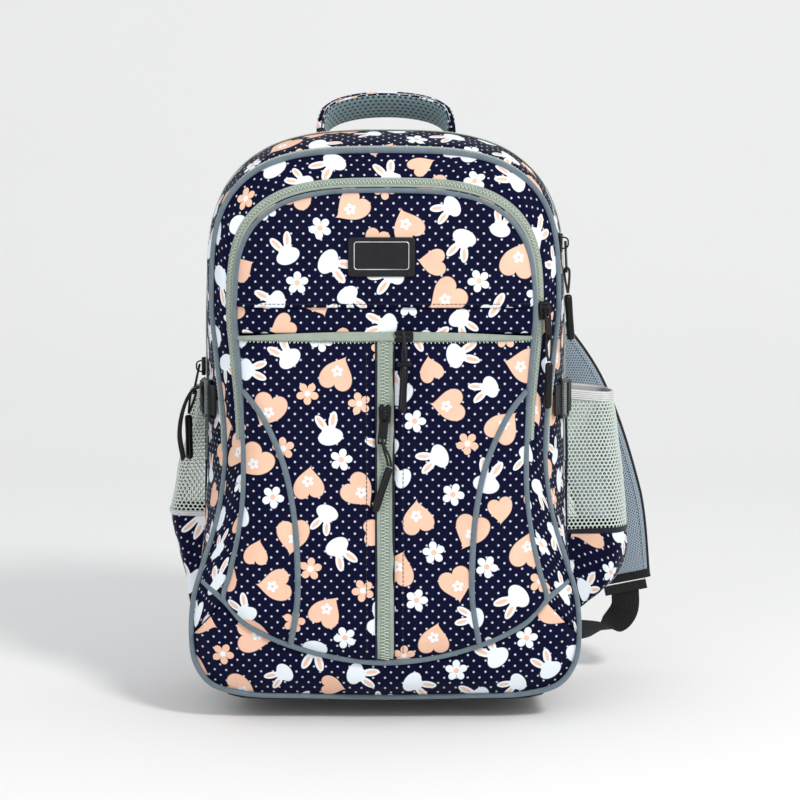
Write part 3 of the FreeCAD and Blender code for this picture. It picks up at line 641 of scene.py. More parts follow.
def plastic(name, color, roughness, coat=0.0, metallic=0.0):
    """Moulded plastic or enamel: a fine texture and rubbed patches in its gloss."""
    made, tree, shader = new_material(name, color, roughness, coat=coat, metallic=metallic,
                                      specular=0.2)
    _, vector = coordinates(tree, "Object", 1.0)
    fine = noise_of(tree, vector, 2000.0, 4.0)
    patch = noise_of(tree, vector, 125.0)
    light = tuple(min(1.0, c * 1.6 + 0.001) for c in color)
    tree.links.new(mix(tree, patch, color, light), shader.inputs["Base Color"])
    tree.links.new((patch * 0.22 + (roughness - 0.1)).socket, shader.inputs["Roughness"])
    bump(tree, shader, fine, 0.12, 0.0002)
    return made


PRINT = printed_fabric()
LINING = woven("lining_weave", (0.020, 0.022, 0.032), 0.9, 0.7)
NAVY_CLOTH = woven("navy_cloth", (0.0065, 0.0075, 0.022), 0.9, 0.6)
BLACK_CLOTH = woven("black_cloth", (0.010, 0.010, 0.013), 1.0, 0.8)
PIPING = woven("piping_bias", (0.150, 0.205, 0.250), 0.9, 0.55, 0.3, 0.3)
TAPE = herringbone("zip_tape_weave", (0.40, 0.47, 0.40))
COIL = yarn("zip_coil", (0.60, 0.68, 0.59), 0.45, 700.0)
SPACER = spacer_mesh("spacer_mesh_grey", (0.30, 0.37, 0.44), 2.4)
HANDLE_MESH = spacer_mesh("handle_mesh_grey", (0.20, 0.30, 0.33), 4.8)
NET = yarn("net_yarn", (0.62, 0.70, 0.64), 0.6)
ELASTIC = ribbed("elastic_white", (0.97, 0.98, 0.99), 1.6, 0.6)
WEBBING = ribbed("webbing_black", (0.012, 0.012, 0.014), 1.8, 0.55)
GREY_WEBBING = ribbed("webbing_grey", (0.30, 0.34, 0.35), 2.0, 0.45, False)
THREAD = yarn("thread_dark", (0.012, 0.013, 0.020), 0.6)
BLACK_PLASTIC = plastic("black_moulded", (0.004, 0.004, 0.005), 0.28, coat=0.08)
ENAMEL = plastic("slider_enamel", (0.005, 0.005, 0.006), 0.25, coat=0.12)
BADGE = plastic("badge_rubber", (0.009, 0.009, 0.011), 0.42)
RIM = plastic("badge_rim", (0.55, 0.56, 0.58), 0.3, metallic=1.0)
CORD_BLACK = yarn("cord_braid", (0.010, 0.010, 0.012), 0.6, 1500.0)


# ---------------------------------------------------------------- moving with the frame

def bends(*pieces):
    """Pieces that cross the fold between the bag and its front section."""
    for piece in pieces:
        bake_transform(piece)


def rides(body, *pieces):
    for piece in pieces:
        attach(piece, body)


def settle(piece, slot, body, *nodes):
    """A piece's material slot (not used), the CAD nodes it stands for, and the body or fold it
    moves with.
    """
    if nodes:
        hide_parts(*nodes)
    if body == "fold":
        bends(piece)
    elif body:
        rides(body, piece)
    return piece


# ---------------------------------------------------------------- camera, light and floor

def make_stage():
    scene = bpy.context.scene
    camera = bpy.data.objects.new("camera", bpy.data.cameras.new("camera"))
    camera.data.lens, camera.data.sensor_width = 100.0, 36.0
    scene.collection.objects.link(camera)
    elevation, distance = math.radians(5.0), 1.80
    target = Vector((0.012, -0.05, 0.244))
    back = Vector((0, -math.cos(elevation), math.sin(elevation)))
    camera.location = target + back * distance
    camera.rotation_euler = (-back).to_track_quat("-Z", "Y").to_euler()
    camera.data.clip_start, camera.data.clip_end = 0.01, 50
    scene.camera = camera
    scene.view_settings.view_transform = "Standard"
    scene.view_settings.look = "None"

    world = bpy.data.worlds.new("studio")
    scene.world = world
    world.use_nodes = True
    world.node_tree.nodes["Background"].inputs[0].default_value = (0.93, 0.94, 0.96, 1)
    world.node_tree.nodes["Background"].inputs[1].default_value = 0.77

    def area(name, place, aim, size, power, tint=(1, 1, 1)):
        lamp = bpy.data.lights.new(name, "AREA")
        lamp.shape, lamp.size, lamp.energy, lamp.color = "DISK", size, power, tint
        made = bpy.data.objects.new(name, lamp)
        made.location = place
        made.rotation_euler = (Vector(aim) - Vector(place)).to_track_quat("-Z", "Y").to_euler()
        scene.collection.objects.link(made)

    area("key", (1.25, -1.9, 2.0), (0, 0, 0.2), 0.55, 46, (1.0, 0.99, 0.97))
    area("fill", (-1.6, -2.2, 0.9), (0, 0, 0.25), 1.6, 10)

    made, tree, shader = new_material("floor_paper", (0.89, 0.89, 0.885), 0.9, specular=0.1)
    _, vector = coordinates(tree, "Object", 1.0)
    grain = noise_of(tree, vector, 3.0, 3.0)
    tree.links.new(mix(tree, grain, (0.885, 0.885, 0.88), (0.905, 0.905, 0.90)),
                   shader.inputs["Base Color"])
    profile = [(-4.0, 0.0), (1.0, 0.0), (1.6, 0.05), (2.1, 0.25), (2.5, 0.7), (2.7, 1.4),
               (2.8, 4.5)]
    path = smooth(np.array(profile), 8)
    rows = np.array([[(x, y, z) for x in (-5.0, 5.0)] for y, z in path]) / MM
    faces = np.array(grid_faces(len(path), 2))[:, ::-1]
    floor = shaped("floor", rows.reshape(-1, 3), faces, [made])
    floor.data.flip_normals()


make_stage()


# ---------------------------------------------------------------- fabric between the rings

def fabric_band(low, high, shares, puff, seed, columns=slice(None), flat=None):
    """A grid of points between two rings, puffed out between its seams and slightly creased.

    flat is a (share, half width) round which the fabric lies flat, above the fold.
    """
    grid = np.array([low.toward(high, s).line() for s in shares])[:, columns]
    out = away_from(grid, normals_of(grid), BAG_CORE)
    t = (np.array(shares) - shares[0]) / (shares[-1] - shares[0])
    lift = np.sin(math.pi * t) ** 0.8
    run = lengths(grid)[:, :, 0]
    near_seam = np.exp(-((t / 0.22) ** 2)) + np.exp(-(((1 - t) / 0.22) ** 2))
    seam_noise = ripple(np.dstack([run, np.zeros_like(run), np.zeros_like(run)]), 11.0, seed)
    broad = ripple(grid, 46.0, seed + 5)
    fine = ripple(grid * np.array([1.0, 0.45, 1.0]), 17.0, seed + 9)
    move = (lift[:, None] * (puff + broad * puff * 0.45 + fine * 0.5)
            + seam_noise * (near_seam * lift)[:, None] * 0.8)
    if flat is not None:
        rise = np.clip((grid[:, :, 2] - FOLD_Z) / 25.0, 0, 1)
        calm = np.exp(-(((np.array(shares) - flat[0]) / flat[1]) ** 4))
        move = move * (1 - calm[:, None] * rise)
    return grid + out * move[:, :, None]


def arch_columns(low_z, ring):
    """Columns of a ring's line that lie above a height, as one run over the top."""
    z = smooth(ring, POINTS_PER_SPAN, True)[:, 1]
    above = np.nonzero(z > low_z)[0]
    return slice(above[0], above[-1] + 1)


def make_gussets():
    shares = np.linspace(0, 1, 15)
    rear = fabric_band(SEAM_REAR, BACK, shares, 3.0, 1.0)
    piece = surface("rear_gusset_fabric", rear, [PRINT, LINING])
    settle(piece, "printed_fabric", "bag", "rear_gusset")
    middle = fabric_band(SEAM_FRONT, AT_OUTER, np.linspace(0.0, 0.985, 15), 2.2, 2.0,
                         flat=(SECOND_ZIP_SHARE, 0.13))
    piece = surface("middle_gusset_fabric", middle, [PRINT, LINING])
    settle(piece, "printed_fabric", "fold", "middle_gusset", "lower_gusset", "gusset_fold")


def make_band():
    """The printed band ahead of the outer piping, and the smile-shaped panel at its foot."""
    shares = np.linspace(0.02, 0.985, 13)
    right = SMILE_INDEX * POINTS_PER_SPAN
    total = SPANS * POINTS_PER_SPAN
    arch_part = fabric_band(AT_OUTER, AT_INNER, shares, 2.4, 3.0, slice(right, total - right + 1),
                            flat=(FRONT_ZIP_SHARE, 0.22))
    piece = surface("front_band_fabric", arch_part, [PRINT, LINING])
    settle(piece, "printed_fabric", "fold", "front_band")
    whole = np.array([AT_OUTER.toward(AT_INNER, s).line() for s in shares])
    low = np.concatenate([whole[:, total - right:-1], whole[:, :right + 1]], axis=1)
    t = np.linspace(0, 1, len(shares))
    puff = np.sin(math.pi * t ** 0.8)[:, None] * 6.5 * (1 + 0.25 * ripple(low, 50.0, 12.0))
    low = low + np.array([0, -1.0, 0]) * puff[:, :, None]
    low = low + np.array([0, -1.0, 0]) * (ripple(low, 16.0, 4.0) * 0.5
                                          * np.sin(math.pi * t)[:, None])[:, :, None]
    uv = np.dstack([low[:, :, 0], low[:, :, 2]])
    piece = surface("smile_panel_fabric", low, [PRINT, LINING], uv)
    settle(piece, "printed_fabric", "fold", "smile_panel")


# ---------------------------------------------------------------- front face

INNER_LINE = smooth(INNER, POINTS_PER_SPAN, True)
SMILE_LINE = smooth(INNER[:SMILE_INDEX + 1], 16)
TRIM_LINE = resample(smooth(np.array(TRIM_ROUTE, float), 10), 2.0)


def edge_x(z):
    """Half width of the front face at a height, between the inner piping's two sides."""
    side = INNER_LINE[SMILE_INDEX * POINTS_PER_SPAN:17 * POINTS_PER_SPAN + 1]
    if z < SMILE_LINE[-1][1]:
        return float(np.interp(z, SMILE_LINE[:, 1], SMILE_LINE[:, 0]))
    return float(np.interp(z, side[:, 1], side[:, 0]))


def top_z(x):
    """Height of the inner piping's arch over a point on the front face."""
    side = INNER_LINE[12 * POINTS_PER_SPAN:17 * POINTS_PER_SPAN + 1]
    return float(np.interp(-abs(x), -side[:, 0], side[:, 1]))


def distance_to(points, line):
    """Shortest distance from each (x, z) point to a polyline's points."""
    flat = points.reshape(-1, 2)
    best = np.full(len(flat), 1e9)
    for a, b in zip(line[:-1], line[1:]):
        d = b - a
        t = np.clip(((flat - a) @ d) / (d @ d + 1e-12), 0, 1)
        best = np.minimum(best, np.linalg.norm(flat - a - t[:, None] * d, axis=1))
    return best.reshape(points.shape[:-1])


CLOSED_INNER = np.vstack([INNER_LINE, INNER_LINE[:1]])
FACE_RISE = 13.0


def front_depth(x, z):
    """How far the front face stands ahead of the inner piping's plane, at (x, z) arrays."""
    points = np.stack([x, z], -1)
    edge = distance_to(points, CLOSED_INNER)
    rise = FACE_RISE * (1 - np.exp(-edge / 8.0))
    mirrored = np.stack([np.abs(x), z], -1)
    groove = distance_to(mirrored, TRIM_LINE)
    rise = rise - 1.8 * np.exp(-(groove / 5.0) ** 2)
    below = 1 / (1 + np.exp((z - (POCKET_ZIP_Z + 2)) / 2.0))
    rise = rise - 1.4 * np.exp(-((np.abs(x) - 7.0) / 6.0) ** 2) * below
    rise = rise - 1.6 * np.exp(-((z - POCKET_ZIP_Z) / 6.0) ** 2)
    return rise


def on_front(x, z, proud=0.0, creases=True):
    """Points on the soft front face."""
    x, z = np.asarray(x, float), np.asarray(z, float)
    depth = front_depth(x, z)
    if creases:
        flat = np.stack([x, z * 0.6, np.zeros_like(x)], -1)
        depth = depth + ripple(flat, 30.0, 21.0) * 0.9 + ripple(flat, 12.0, 31.0) * 0.35
    y = INNER_FOOT + LEAN * z - depth - proud
    return np.stack([x, y, z], -1)


def front_normals(points):
    """Outward directions for points on the front face, by finite differences."""
    step = 1.5
    x, z = points[..., 0], points[..., 2]
    dx = on_front(x + step, z, creases=False) - on_front(x - step, z, creases=False)
    dz = on_front(x, z + step, creases=False) - on_front(x, z - step, creases=False)
    out = unit(np.cross(dx, dz))
    return np.where(out[..., 1:2] > 0, -out, out)


def eased(count, start, stop, power=0.75):
    """Numbers from start to stop, closer together towards stop."""
    t = np.linspace(0, 1, count) ** power
    return start + (stop - start) * t


def mirrored(count, reach):
    """Numbers from -reach to reach, closer together towards both ends."""
    half = eased(count, 0, reach)
    return np.r_[-half[::-1], half[1:]]


def make_front_panels():
    rows = np.linspace(SMILE_LINE[0][1] + 1.2, POCKET_ZIP_Z - 3.6, 96)
    for side, name in ((-1, "left"), (1, "right")):
        xs, zs = [], []
        for z in rows:
            reach = max(edge_x(z) - 0.4, 7.6)
            xs.append(side * eased(44, 6.6, reach))
            zs.append(np.full(44, z))
        grid = on_front(np.array(xs), np.array(zs))
        uv = np.dstack([grid[:, :, 0], grid[:, :, 2]])
        piece = surface(f"front_panel_{name}_fabric", grid, [PRINT, LINING], uv,
                        centre=BEHIND_FACE)
        nodes = [f"front_panel_{name}"]
        nodes += ["front_panel_foot", "front_panel_fold"] if side > 0 else []
        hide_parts(*nodes)
        bends(piece)
    columns = mirrored(60, 117.6)
    xs, zs = [], []
    for k in range(34):
        t = k / 33
        xs.append(columns)
        zs.append(np.array([FLAP_Z + (top_z(x) - 0.4 - FLAP_Z) * t for x in columns]))
    grid = on_front(np.array(xs), np.array(zs))
    roll = np.exp(-((grid[:, :, 2] - FLAP_Z) / 5.0) ** 2) * 1.9
    grid[:, :, 1] -= roll
    uv = np.dstack([grid[:, :, 0] + 31, grid[:, :, 2]])
    piece = surface("label_panel_fabric", grid, [PRINT, LINING], uv, 2.2, BEHIND_FACE)
    settle(piece, "printed_fabric", "fold", "label_panel")
    xs, zs = [], []
    for z in np.linspace(POCKET_ZIP_Z + 2.4, FLAP_Z + 4, 16):
        reach = edge_x(z) - 0.4
        xs.append(mirrored(50, reach))
        zs.append(np.full(99, z))
    grid = on_front(np.array(xs), np.array(zs), -0.6)
    uv = np.dstack([grid[:, :, 0] - 57, grid[:, :, 2] + 18])
    piece = surface("zip_flap_fabric", grid, [PRINT, LINING], uv, centre=BEHIND_FACE)
    settle(piece, "printed_fabric", "fold")
    line = np.array([(x, FLAP_Z + 2.6) for x in np.linspace(-113, 113, 120)])
    path = on_front(line[:, 0], line[:, 1], 1.9)
    piece = stitches("flap_topstitch", path, front_normals(path))
    bends(piece)


# ---------------------------------------------------------------- zips

COIL_PITCH = 1.5      # one coil tooth to the next
TAPE_THICK = 0.7
STRIP_STEP = 3.0      # one cross-section of a long zip to the next


def coil_chain(name, path, out, half, pitch=COIL_PITCH, lift=0.9):
    """Two interlocked rows of coil along a path."""
    verts, faces = pill(half * 1.25, pitch * 0.62, 1.3)
    places = []
    for i, (p, a, c, u) in enumerate(frames_along(path, out, pitch)):
        side = 1 if i % 2 else -1
        slant = unit(c * side + a * 0.22)
        places.append((p + c * (side * half * 0.42) + u * lift, slant, unit(np.cross(u, slant)), u))
    return repeated(name, verts, faces, places, [COIL])


def tape(name, path, out, width):
    profile = [(-width / 2, 0.3), (-width * 0.27, 0.3), (-width * 0.25, 0), (0, -0.2),
               (width * 0.25, 0), (width * 0.27, 0.3), (width / 2, 0.3),
               (width / 2, -TAPE_THICK), (-width / 2, -TAPE_THICK)]
    return sweep(name, path, out, profile, [TAPE])


def ring_strip(low, high, share, columns, proud):
    """A line between two rings with the surface's outward directions, lifted off it."""
    near = [low.toward(high, s).line() for s in (share - 0.06, share, share + 0.06)]
    grid = np.array(near)[:, columns]
    out = away_from(grid, normals_of(grid), BAG_CORE)[1]
    return grid[1] + out * proud, out


def make_arch_zips():
    columns = arch_columns(ZIP_END_Z, OUTER)
    path, out = thin_out(*ring_strip(AT_OUTER, AT_INNER, FRONT_ZIP_SHARE, columns, 0.9))
    front = [tape("front_zip_tape", path, out, 9.0),
             coil_chain("front_zip_coil", path, out, 1.9)]
    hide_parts("front_zip")
    path, out = thin_out(*ring_strip(SEAM_FRONT, AT_OUTER, SECOND_ZIP_SHARE, columns, 0.9))
    second = [tape("second_zip_tape", path, out, 9.0),
              coil_chain("second_zip_coil", path, out, 1.9)]
    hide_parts("second_zip")
    bends(*front, *second)
    columns = arch_columns(FOLD_Z + 3, MAIN)
    path, out = thin_out(*ring_strip(SEAM_FRONT, SEAM_REAR, 0.5, columns, 0.8))
    rear_path, front_path = path + [0, 2.7, 0], path - [0, 2.7, 0]
    flat = [(-2.5, -0.5), (2.5, -0.5), (2.5, 0.3), (-2.5, 0.3)]
    rear = sweep("main_zip_tape_rear", rear_path, out, flat, [TAPE])
    ahead = sweep("main_zip_tape_front", front_path, out, flat, [TAPE])
    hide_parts("main_zip_rear_half")
    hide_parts("main_zip_front_half")
    verts, faces = pill(3.0, 0.95, 1.3)
    halves = {1: [], -1: []}
    for i, (p, _, _, u) in enumerate(frames_along(path, out, COIL_PITCH)):
        side = 1 if i % 2 else -1
        back = np.array([0, 1.0, 0]) * side
        halves[side].append((p + back * 0.9 + u * 0.5, back, unit(np.cross(u, back)), u))
    rear_teeth = repeated("main_zip_coil_rear", verts, faces, halves[1], [COIL])
    front_teeth = repeated("main_zip_coil_front", verts, faces, halves[-1], [COIL])
    rides("bag", rear, rear_teeth)
    bends(ahead, front_teeth)


def thin_out(path, out):
    both = resample(np.hstack([path, out]), STRIP_STEP)
    return both[:, :3], unit(both[:, 3:])


def make_front_zips():
    zs = np.linspace(POCKET_ZIP_Z - 4, 40.5, 170)
    flat = on_front(np.zeros_like(zs), zs, -0.9, creases=False)
    out = np.broadcast_to(np.array([0, -1.0, 0]), flat.shape)
    ribbon = tape("vertical_zip_tape", flat, out, 14.0)
    chain = coil_chain("vertical_zip_coil", flat, out, 3.3, 1.35, 0.7)
    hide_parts("vertical_zip", "vertical_zip_lower")
    bends(ribbon, chain)
    for side, x in ((-1, -14.5), (1, 14.5)):
        line = on_front(np.full_like(zs[6:-4], x), zs[6:-4], 0.2)
        piece = stitches(f"vertical_topstitch_{'left' if side < 0 else 'right'}", line,
                         front_normals(line))
        bends(piece)
        hem = on_front(np.full_like(zs, side * 6.9), zs, 0.1)
        fold = sweep(f"vertical_zip_hem_{'left' if side < 0 else 'right'}", hem, [0, -1, 0],
                     circle(0.9, 8), [NAVY_CLOTH])
        bends(fold)
    reach = edge_x(POCKET_ZIP_Z) - 1.5
    xs = np.linspace(-reach, reach, 120)
    droop = POCKET_ZIP_Z - 1.6 * (np.abs(xs) / reach) ** 2
    path = on_front(xs, droop, 1.2, creases=False)
    share = 1 - 0.62 * (np.abs(xs) / reach) ** 2.2
    out = unit(np.array([0, -1.0, 0.25]))
    profile = rounded_bar(7.6, 1.9, 0.8)
    welt = sweep("pocket_zip_welt", path, out, profile, [TAPE], scale=share)
    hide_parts("pocket_zip")
    lower = on_front(xs, droop - 4.2 * share, 0.4, creases=False)
    chain = coil_chain("pocket_zip_coil", lower, [0, -1, 0], 1.6, 1.6, 0.2)
    bends(welt, chain)


# ---------------------------------------------------------------- piping

def make_piping():
    line = AT_OUTER.line(-0.6)
    outer = tubing("outer_piping_cord", line[:-1], True)
    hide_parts("outer_piping", "lower_piping", "piping_fold")
    right = SMILE_INDEX * POINTS_PER_SPAN
    total = SPANS * POINTS_PER_SPAN
    inner = AT_INNER.line(-0.4)[right:total - right + 1]
    inner = tubing("inner_piping_cord", inner)
    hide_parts("inner_piping")
    half = np.array([(x, z) for x, z in INNER_SIDE[:SMILE_INDEX + 1]] + [(147.0, 99.0)])
    both = np.vstack([half[::-1] * [-1, 1], half[1:]])
    flat = smooth(both, 10)
    depth = INNER_FOOT + LEAN * flat[:, 1]
    tail = np.clip((np.abs(flat[:, 0]) - 126) / 21, 0, 1)
    outer_y = OUTER_FOOT + LEAN * flat[:, 1]
    y = depth * (1 - tail) + (outer_y - 1.5) * tail - 2.6 * np.sin(math.pi * tail) - 1.2
    smile = tubing("smile_piping_cord", np.column_stack([flat[:, 0], y, flat[:, 1]]))
    trims = []
    for side, name in ((-1, "left"), (1, "right")):
        flat = smooth(np.array(TRIM_ROUTE, float), 10) * [side, 1]
        path = on_front(flat[:, 0], flat[:, 1], 0.5, creases=False)
        trims.append(tubing(f"trim_piping_{name}", path))
    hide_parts("trim_piping")
    rear = tubing("rear_piping_cord", BACK.line(-0.4)[:-1], True, 2.0)
    rides("bag", rear)
    bends(outer, inner, smile, *trims)


def tubing(name, path, closed=False, radius=PIPE_RADIUS):
    path = np.vstack([path, path[:1]]) if closed else path
    path = resample(np.asarray(path, float), 3.0)
    return sweep(name, path, [0, -1, 0.001], circle(radius, 12), [PIPING])


# ---------------------------------------------------------------- padded pieces and webbing

def cushion(width, height, power, sides=28):
    """A pillow-shaped section as (across, out) points."""
    turns = np.linspace(0, 2 * math.pi, sides, endpoint=False)
    c, s = np.cos(turns), np.sin(turns)
    return np.column_stack([width / 2 * np.sign(c) * np.abs(c) ** (2 / power),
                            height / 2 * np.sign(s) * np.abs(s) ** (2 / power)])


def outer_sides(sides, above, outer, inner):
    """Material numbers round a section: outer where a side faces out, inner elsewhere."""
    facing = np.sin(2 * math.pi * (np.arange(sides) + 0.5) / sides)
    return [outer if f > above else inner for f in facing]


def make_handle():
    lean = math.radians(45.0)
    out = np.array([0, math.sin(lean), math.cos(lean)])
    turns = np.linspace(0.0, math.pi, 61)
    path = (np.array([0, 86.0, 466.0]) + np.outer(-56.0 * np.cos(turns), [1.0, 0, 0])
            + np.outer(32.0 * np.sin(turns) ** 0.8 - 2.5 * np.cos(turns) ** 8, out))
    radial = unit(np.outer(-np.cos(turns), [1.0, 0, 0]) + np.outer(np.sin(turns), out))
    share = np.minimum(1.0, 0.34 + 1.9 * np.sin(turns))
    strap = sweep("carry_handle_strap", path, radial, cushion(28.0, 8.0, 3.0), [PRINT, HANDLE_MESH],
                  side_material=outer_sides(28, -0.45, 0, 1), scale=share)
    settle(strap, "printed_fabric", None, "carry_handle")
    across = unit(np.cross(heading(path), radial))
    rides("handle", strap)
    for side, name in ((-1, "front"), (1, "rear")):
        line = path + across * (side * 11.2 * share)[:, None]
        seam = stitches(f"handle_topstitch_{name}", line[3:-3], radial[3:-3], 3.55)
        rides("handle", seam)


STRAP_ROUTES = {
    "right": [(37, 101.6, 445), (62, 131, 390), (105, 140, 315), (163, 139, 235), (199, 133, 137),
              (213, 129, 66)],
    "left": [(-37, 103.8, 445), (-58, 131, 390), (-80, 140, 320), (-104, 140, 240),
             (-120, 134, 160), (-126, 130, 92)],
}
TAIL_ROUTES = {
    "right": [(213, 126.5, 40), (199, 119, 27), (162, 105, 26), (134, 93.9, 34)],
    "left": [(-129, 127, 60), (-130, 118, 44), (-130, 104, 39), (-131, 93.9, 39)],
}
STRAP_SHARES = [0.78, 0.9, 1.0, 1.0, 0.92, 0.7]
FLAT_WEB = rounded_bar(25.0, 1.6, 0.6, 2)


def webbing(name, route, across, per=8):
    """A flat strap of webbing along a route, with its width near the across direction."""
    path = smooth(np.array(route, float), per)
    out = unit(np.cross(heading(path), across))
    return sweep(name, path, out, FLAT_WEB, [WEBBING])


def make_shoulder_straps():
    tails = []
    for name, route in STRAP_ROUTES.items():
        path = smooth(np.array(route, float), 14)
        share = np.interp(np.linspace(0, 5, len(path)), range(6), STRAP_SHARES)
        along = heading(path)
        out = unit(np.cross(along, [1, 0, 0.25]))
        across = unit(np.cross(along, out))
        pad = sweep(f"shoulder_strap_{name}_cushion", path, out, cushion(62.0, 12.0, 3.6, 32),
                    [PRINT, SPACER], side_material=outer_sides(32, -0.25, 1, 0), scale=share)
        settle(pad, "spacer_mesh", None, f"shoulder_strap_{name}")
        rides("bag", pad)
        for side, edge in ((-1, "inner"), (1, "outer")):
            line = path + across * (side * 31.0 * share)[:, None]
            binding = sweep(f"strap_binding_{name}_{edge}", line, out, circle(2.2, 10),
                            [BLACK_CLOTH])
            line = path + across * (side * 26.0 * share)[:, None]
            seam = stitches(f"strap_topstitch_{name}_{edge}", line, out, 5.0)
            rides("bag", binding, seam)
        foot, foot_out = path[-1] + along[-1] * np.array([[-7.0], [-3.5], [0.4]]), out[-1]
        hem = sweep(f"strap_hem_{name}", foot, foot_out, cushion(62.0 * 0.7 + 5, 13.4, 3.6, 32),
                    [BLACK_CLOTH])
        rides("bag", hem)
        run = unit(np.array(route[-1], float) - np.array(route[-2], float))
        start = np.array(route[-1], float) + run * 5.0
        tails.append(webbing(f"strap_tail_{name}", np.vstack([start, TAIL_ROUTES[name]]),
                             [1, 0.1, 0.25], 10))
    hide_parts("strap_webbing")
    rides("bag", *tails)
    refinish("strap_ladder_locks", BLACK_PLASTIC, 0.8)


def refinish(node, material, bevel=0.0):
    """A CAD piece that is right as it stands gets its real finish and softened edges."""
    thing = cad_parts[node]
    thing.data.materials.clear()
    thing.data.materials.append(material)
    if bevel:
        soft = thing.modifiers.new("edges", "BEVEL")
        soft.width, soft.segments, soft.limit_method = bevel * MM, 2, "ANGLE"


# ---------------------------------------------------------------- moulded shapes

def stacked(rows):
    """Points and faces of a closed form through rings of points, with flat ends."""
    count = len(rows[0])
    faces = [tuple(f) for f in grid_faces(len(rows), count, close_cols=True)]
    faces.append(tuple(reversed(range(count))))
    faces.append(tuple((len(rows) - 1) * count + i for i in range(count)))
    return np.vstack(rows), faces


def prism(outline, levels, origin, axes):
    """Points and faces of a closed form through (inset, height) levels of an outline."""
    x, y, z = (np.asarray(a, float) for a in axes)
    rows = []
    for depth, height in levels:
        flat = inset(np.asarray(outline, float), depth)
        rows.append(np.asarray(origin, float) + np.outer(flat[:, 0], x) + np.outer(flat[:, 1], y)
                    + height * z)
    return stacked(rows)


def lathe(start, axis, stations, sides=20):
    """Points and faces of a round form: stations are (distance along the axis, radius)."""
    axis = unit(np.asarray(axis, float))
    side = unit(np.cross(axis, [0.31, 0.9, 0.2]))
    other = np.cross(axis, side)
    ring = circle(1.0, sides)
    rows = [np.asarray(start, float) + axis * d + r * (np.outer(ring[:, 0], side)
                                                       + np.outer(ring[:, 1], other))
            for d, r in stations]
    return stacked(rows)


def merged(name, forms, materials, planar=None):
    """One object from several closed forms; planar gives the two axes of a flat UV."""
    verts, faces, start = [], [], 0
    for points, found in forms:
        verts.append(points)
        faces += [tuple(v + start for v in f) for f in found]
        start += len(points)
    verts = np.vstack(verts)
    uv = None if planar is None else verts @ np.array(planar, float).T
    made = shaped(name, verts, faces, materials, uv)
    made.data.polygons.foreach_set("use_smooth", [len(f) == 4 for f in faces])
    return made


def block(width, height, corner, low, high, origin, axes, edge=0.3):
    levels = [(edge, low), (0, low + edge), (0, high - edge), (edge, high)]
    return prism(rounded_bar(width, height, corner), levels, origin, axes)


# ---------------------------------------------------------------- side pockets

POCKET_NEAR = 153.2
POCKETS = {
    "left": (-1, [(49.5, 152.5), (50.5, 158.5), (55, 164), (90, 171), (128, 181), (143, 183)],
             [(143, 183), (180, 176), (215, 168), (241, 164)], 242.4, 164.5),
    "right": (1, [(56, 152.5), (58, 161), (64, 170), (75, 185), (88, 198), (112, 205), (128, 204)],
              [(128, 204), (170, 201), (210, 196), (239, 191)], 240.4, 191.5),
}


def pocket_bow(side, reach, count=61):
    """The bowed section of a side pocket as evenly spaced (x, y) points, ends on the gusset."""
    out = POCKET_NEAR + (reach - POCKET_NEAR) * 0.8
    points = [(146.8, 86), (POCKET_NEAR, 83), (out, 77), (reach, 58.5), (reach, 34.5), (out, 16),
              (POCKET_NEAR, 10), (146.8, 7)]
    flat = smooth(np.array(points, float), 10)
    run = run_along(flat)
    even = np.linspace(0, run[-1], count)
    return np.column_stack([side * np.interp(even, run, flat[:, 0]),
                            np.interp(even, run, flat[:, 1])])


def pocket_wall(side, stations, rows):
    line = smooth(np.array(stations, float), 10)
    grid = []
    for z in np.linspace(line[0][0], line[-1][0], rows):
        flat = pocket_bow(side, float(np.interp(z, line[:, 0], line[:, 1])))
        grid.append(np.column_stack([flat, np.full(len(flat), z)]))
    return np.array(grid)


def hexagon_net(name, grid, width=3.5, pitch=3.05, inner=0.70):
    """Knitted net with six-sided holes, laid on a grid of evenly spaced points."""
    rows, cols = grid.shape[:2]
    length = float(np.linalg.norm(np.diff(grid[rows // 2], axis=0), axis=1).sum())
    height = float(np.linalg.norm(np.diff(grid[:, cols // 2], axis=0), axis=1).sum())
    radius = width / math.sqrt(3)
    corners = [(math.sin(math.radians(60 * k)) * radius,
                math.cos(math.radians(60 * k)) * radius * pitch / (1.5 * radius)) for k in range(6)]
    points, index, faces = [], {}, []

    def vertex(u, v, shared):
        key = (round(u * 20), round(v * 20)) if shared else (u, v)
        if key not in index:
            index[key] = len(points)
            points.append((u, v))
        return index[key]

    for j in range(int(height / pitch) + 1):
        for i in range(int(length / width) + 1):
            u, v = (i + 0.5 * (j % 2)) * width, j * pitch
            if not (1.5 < u < length - 1.5 and 1.2 < v < height - 1.2):
                continue
            outer = [vertex(u + a, v + b, True) for a, b in corners]
            holes = [vertex(u + a * inner + 1e-4, v + b * inner, False) for a, b in corners]
            for k in range(6):
                n = (k + 1) % 6
                faces.append((outer[k], holes[k], holes[n], outer[n]))
    flat = np.array(points)
    c = np.clip(flat[:, 0] / length, 0, 0.9999) * (cols - 1)
    r = np.clip(flat[:, 1] / height, 0, 0.9999) * (rows - 1)
    ci, ri = c.astype(int), r.astype(int)
    fc, fr = (c - ci)[:, None], (r - ri)[:, None]
    verts = ((grid[ri, ci] * (1 - fc) + grid[ri, ci + 1] * fc) * (1 - fr)
             + (grid[ri + 1, ci] * (1 - fc) + grid[ri + 1, ci + 1] * fc) * fr)
    made = shaped(name, verts, faces, [NET])
    body = made.modifiers.new("yarn", "SOLIDIFY")
    body.thickness, body.offset = 0.8 * MM, 0.0
    return made


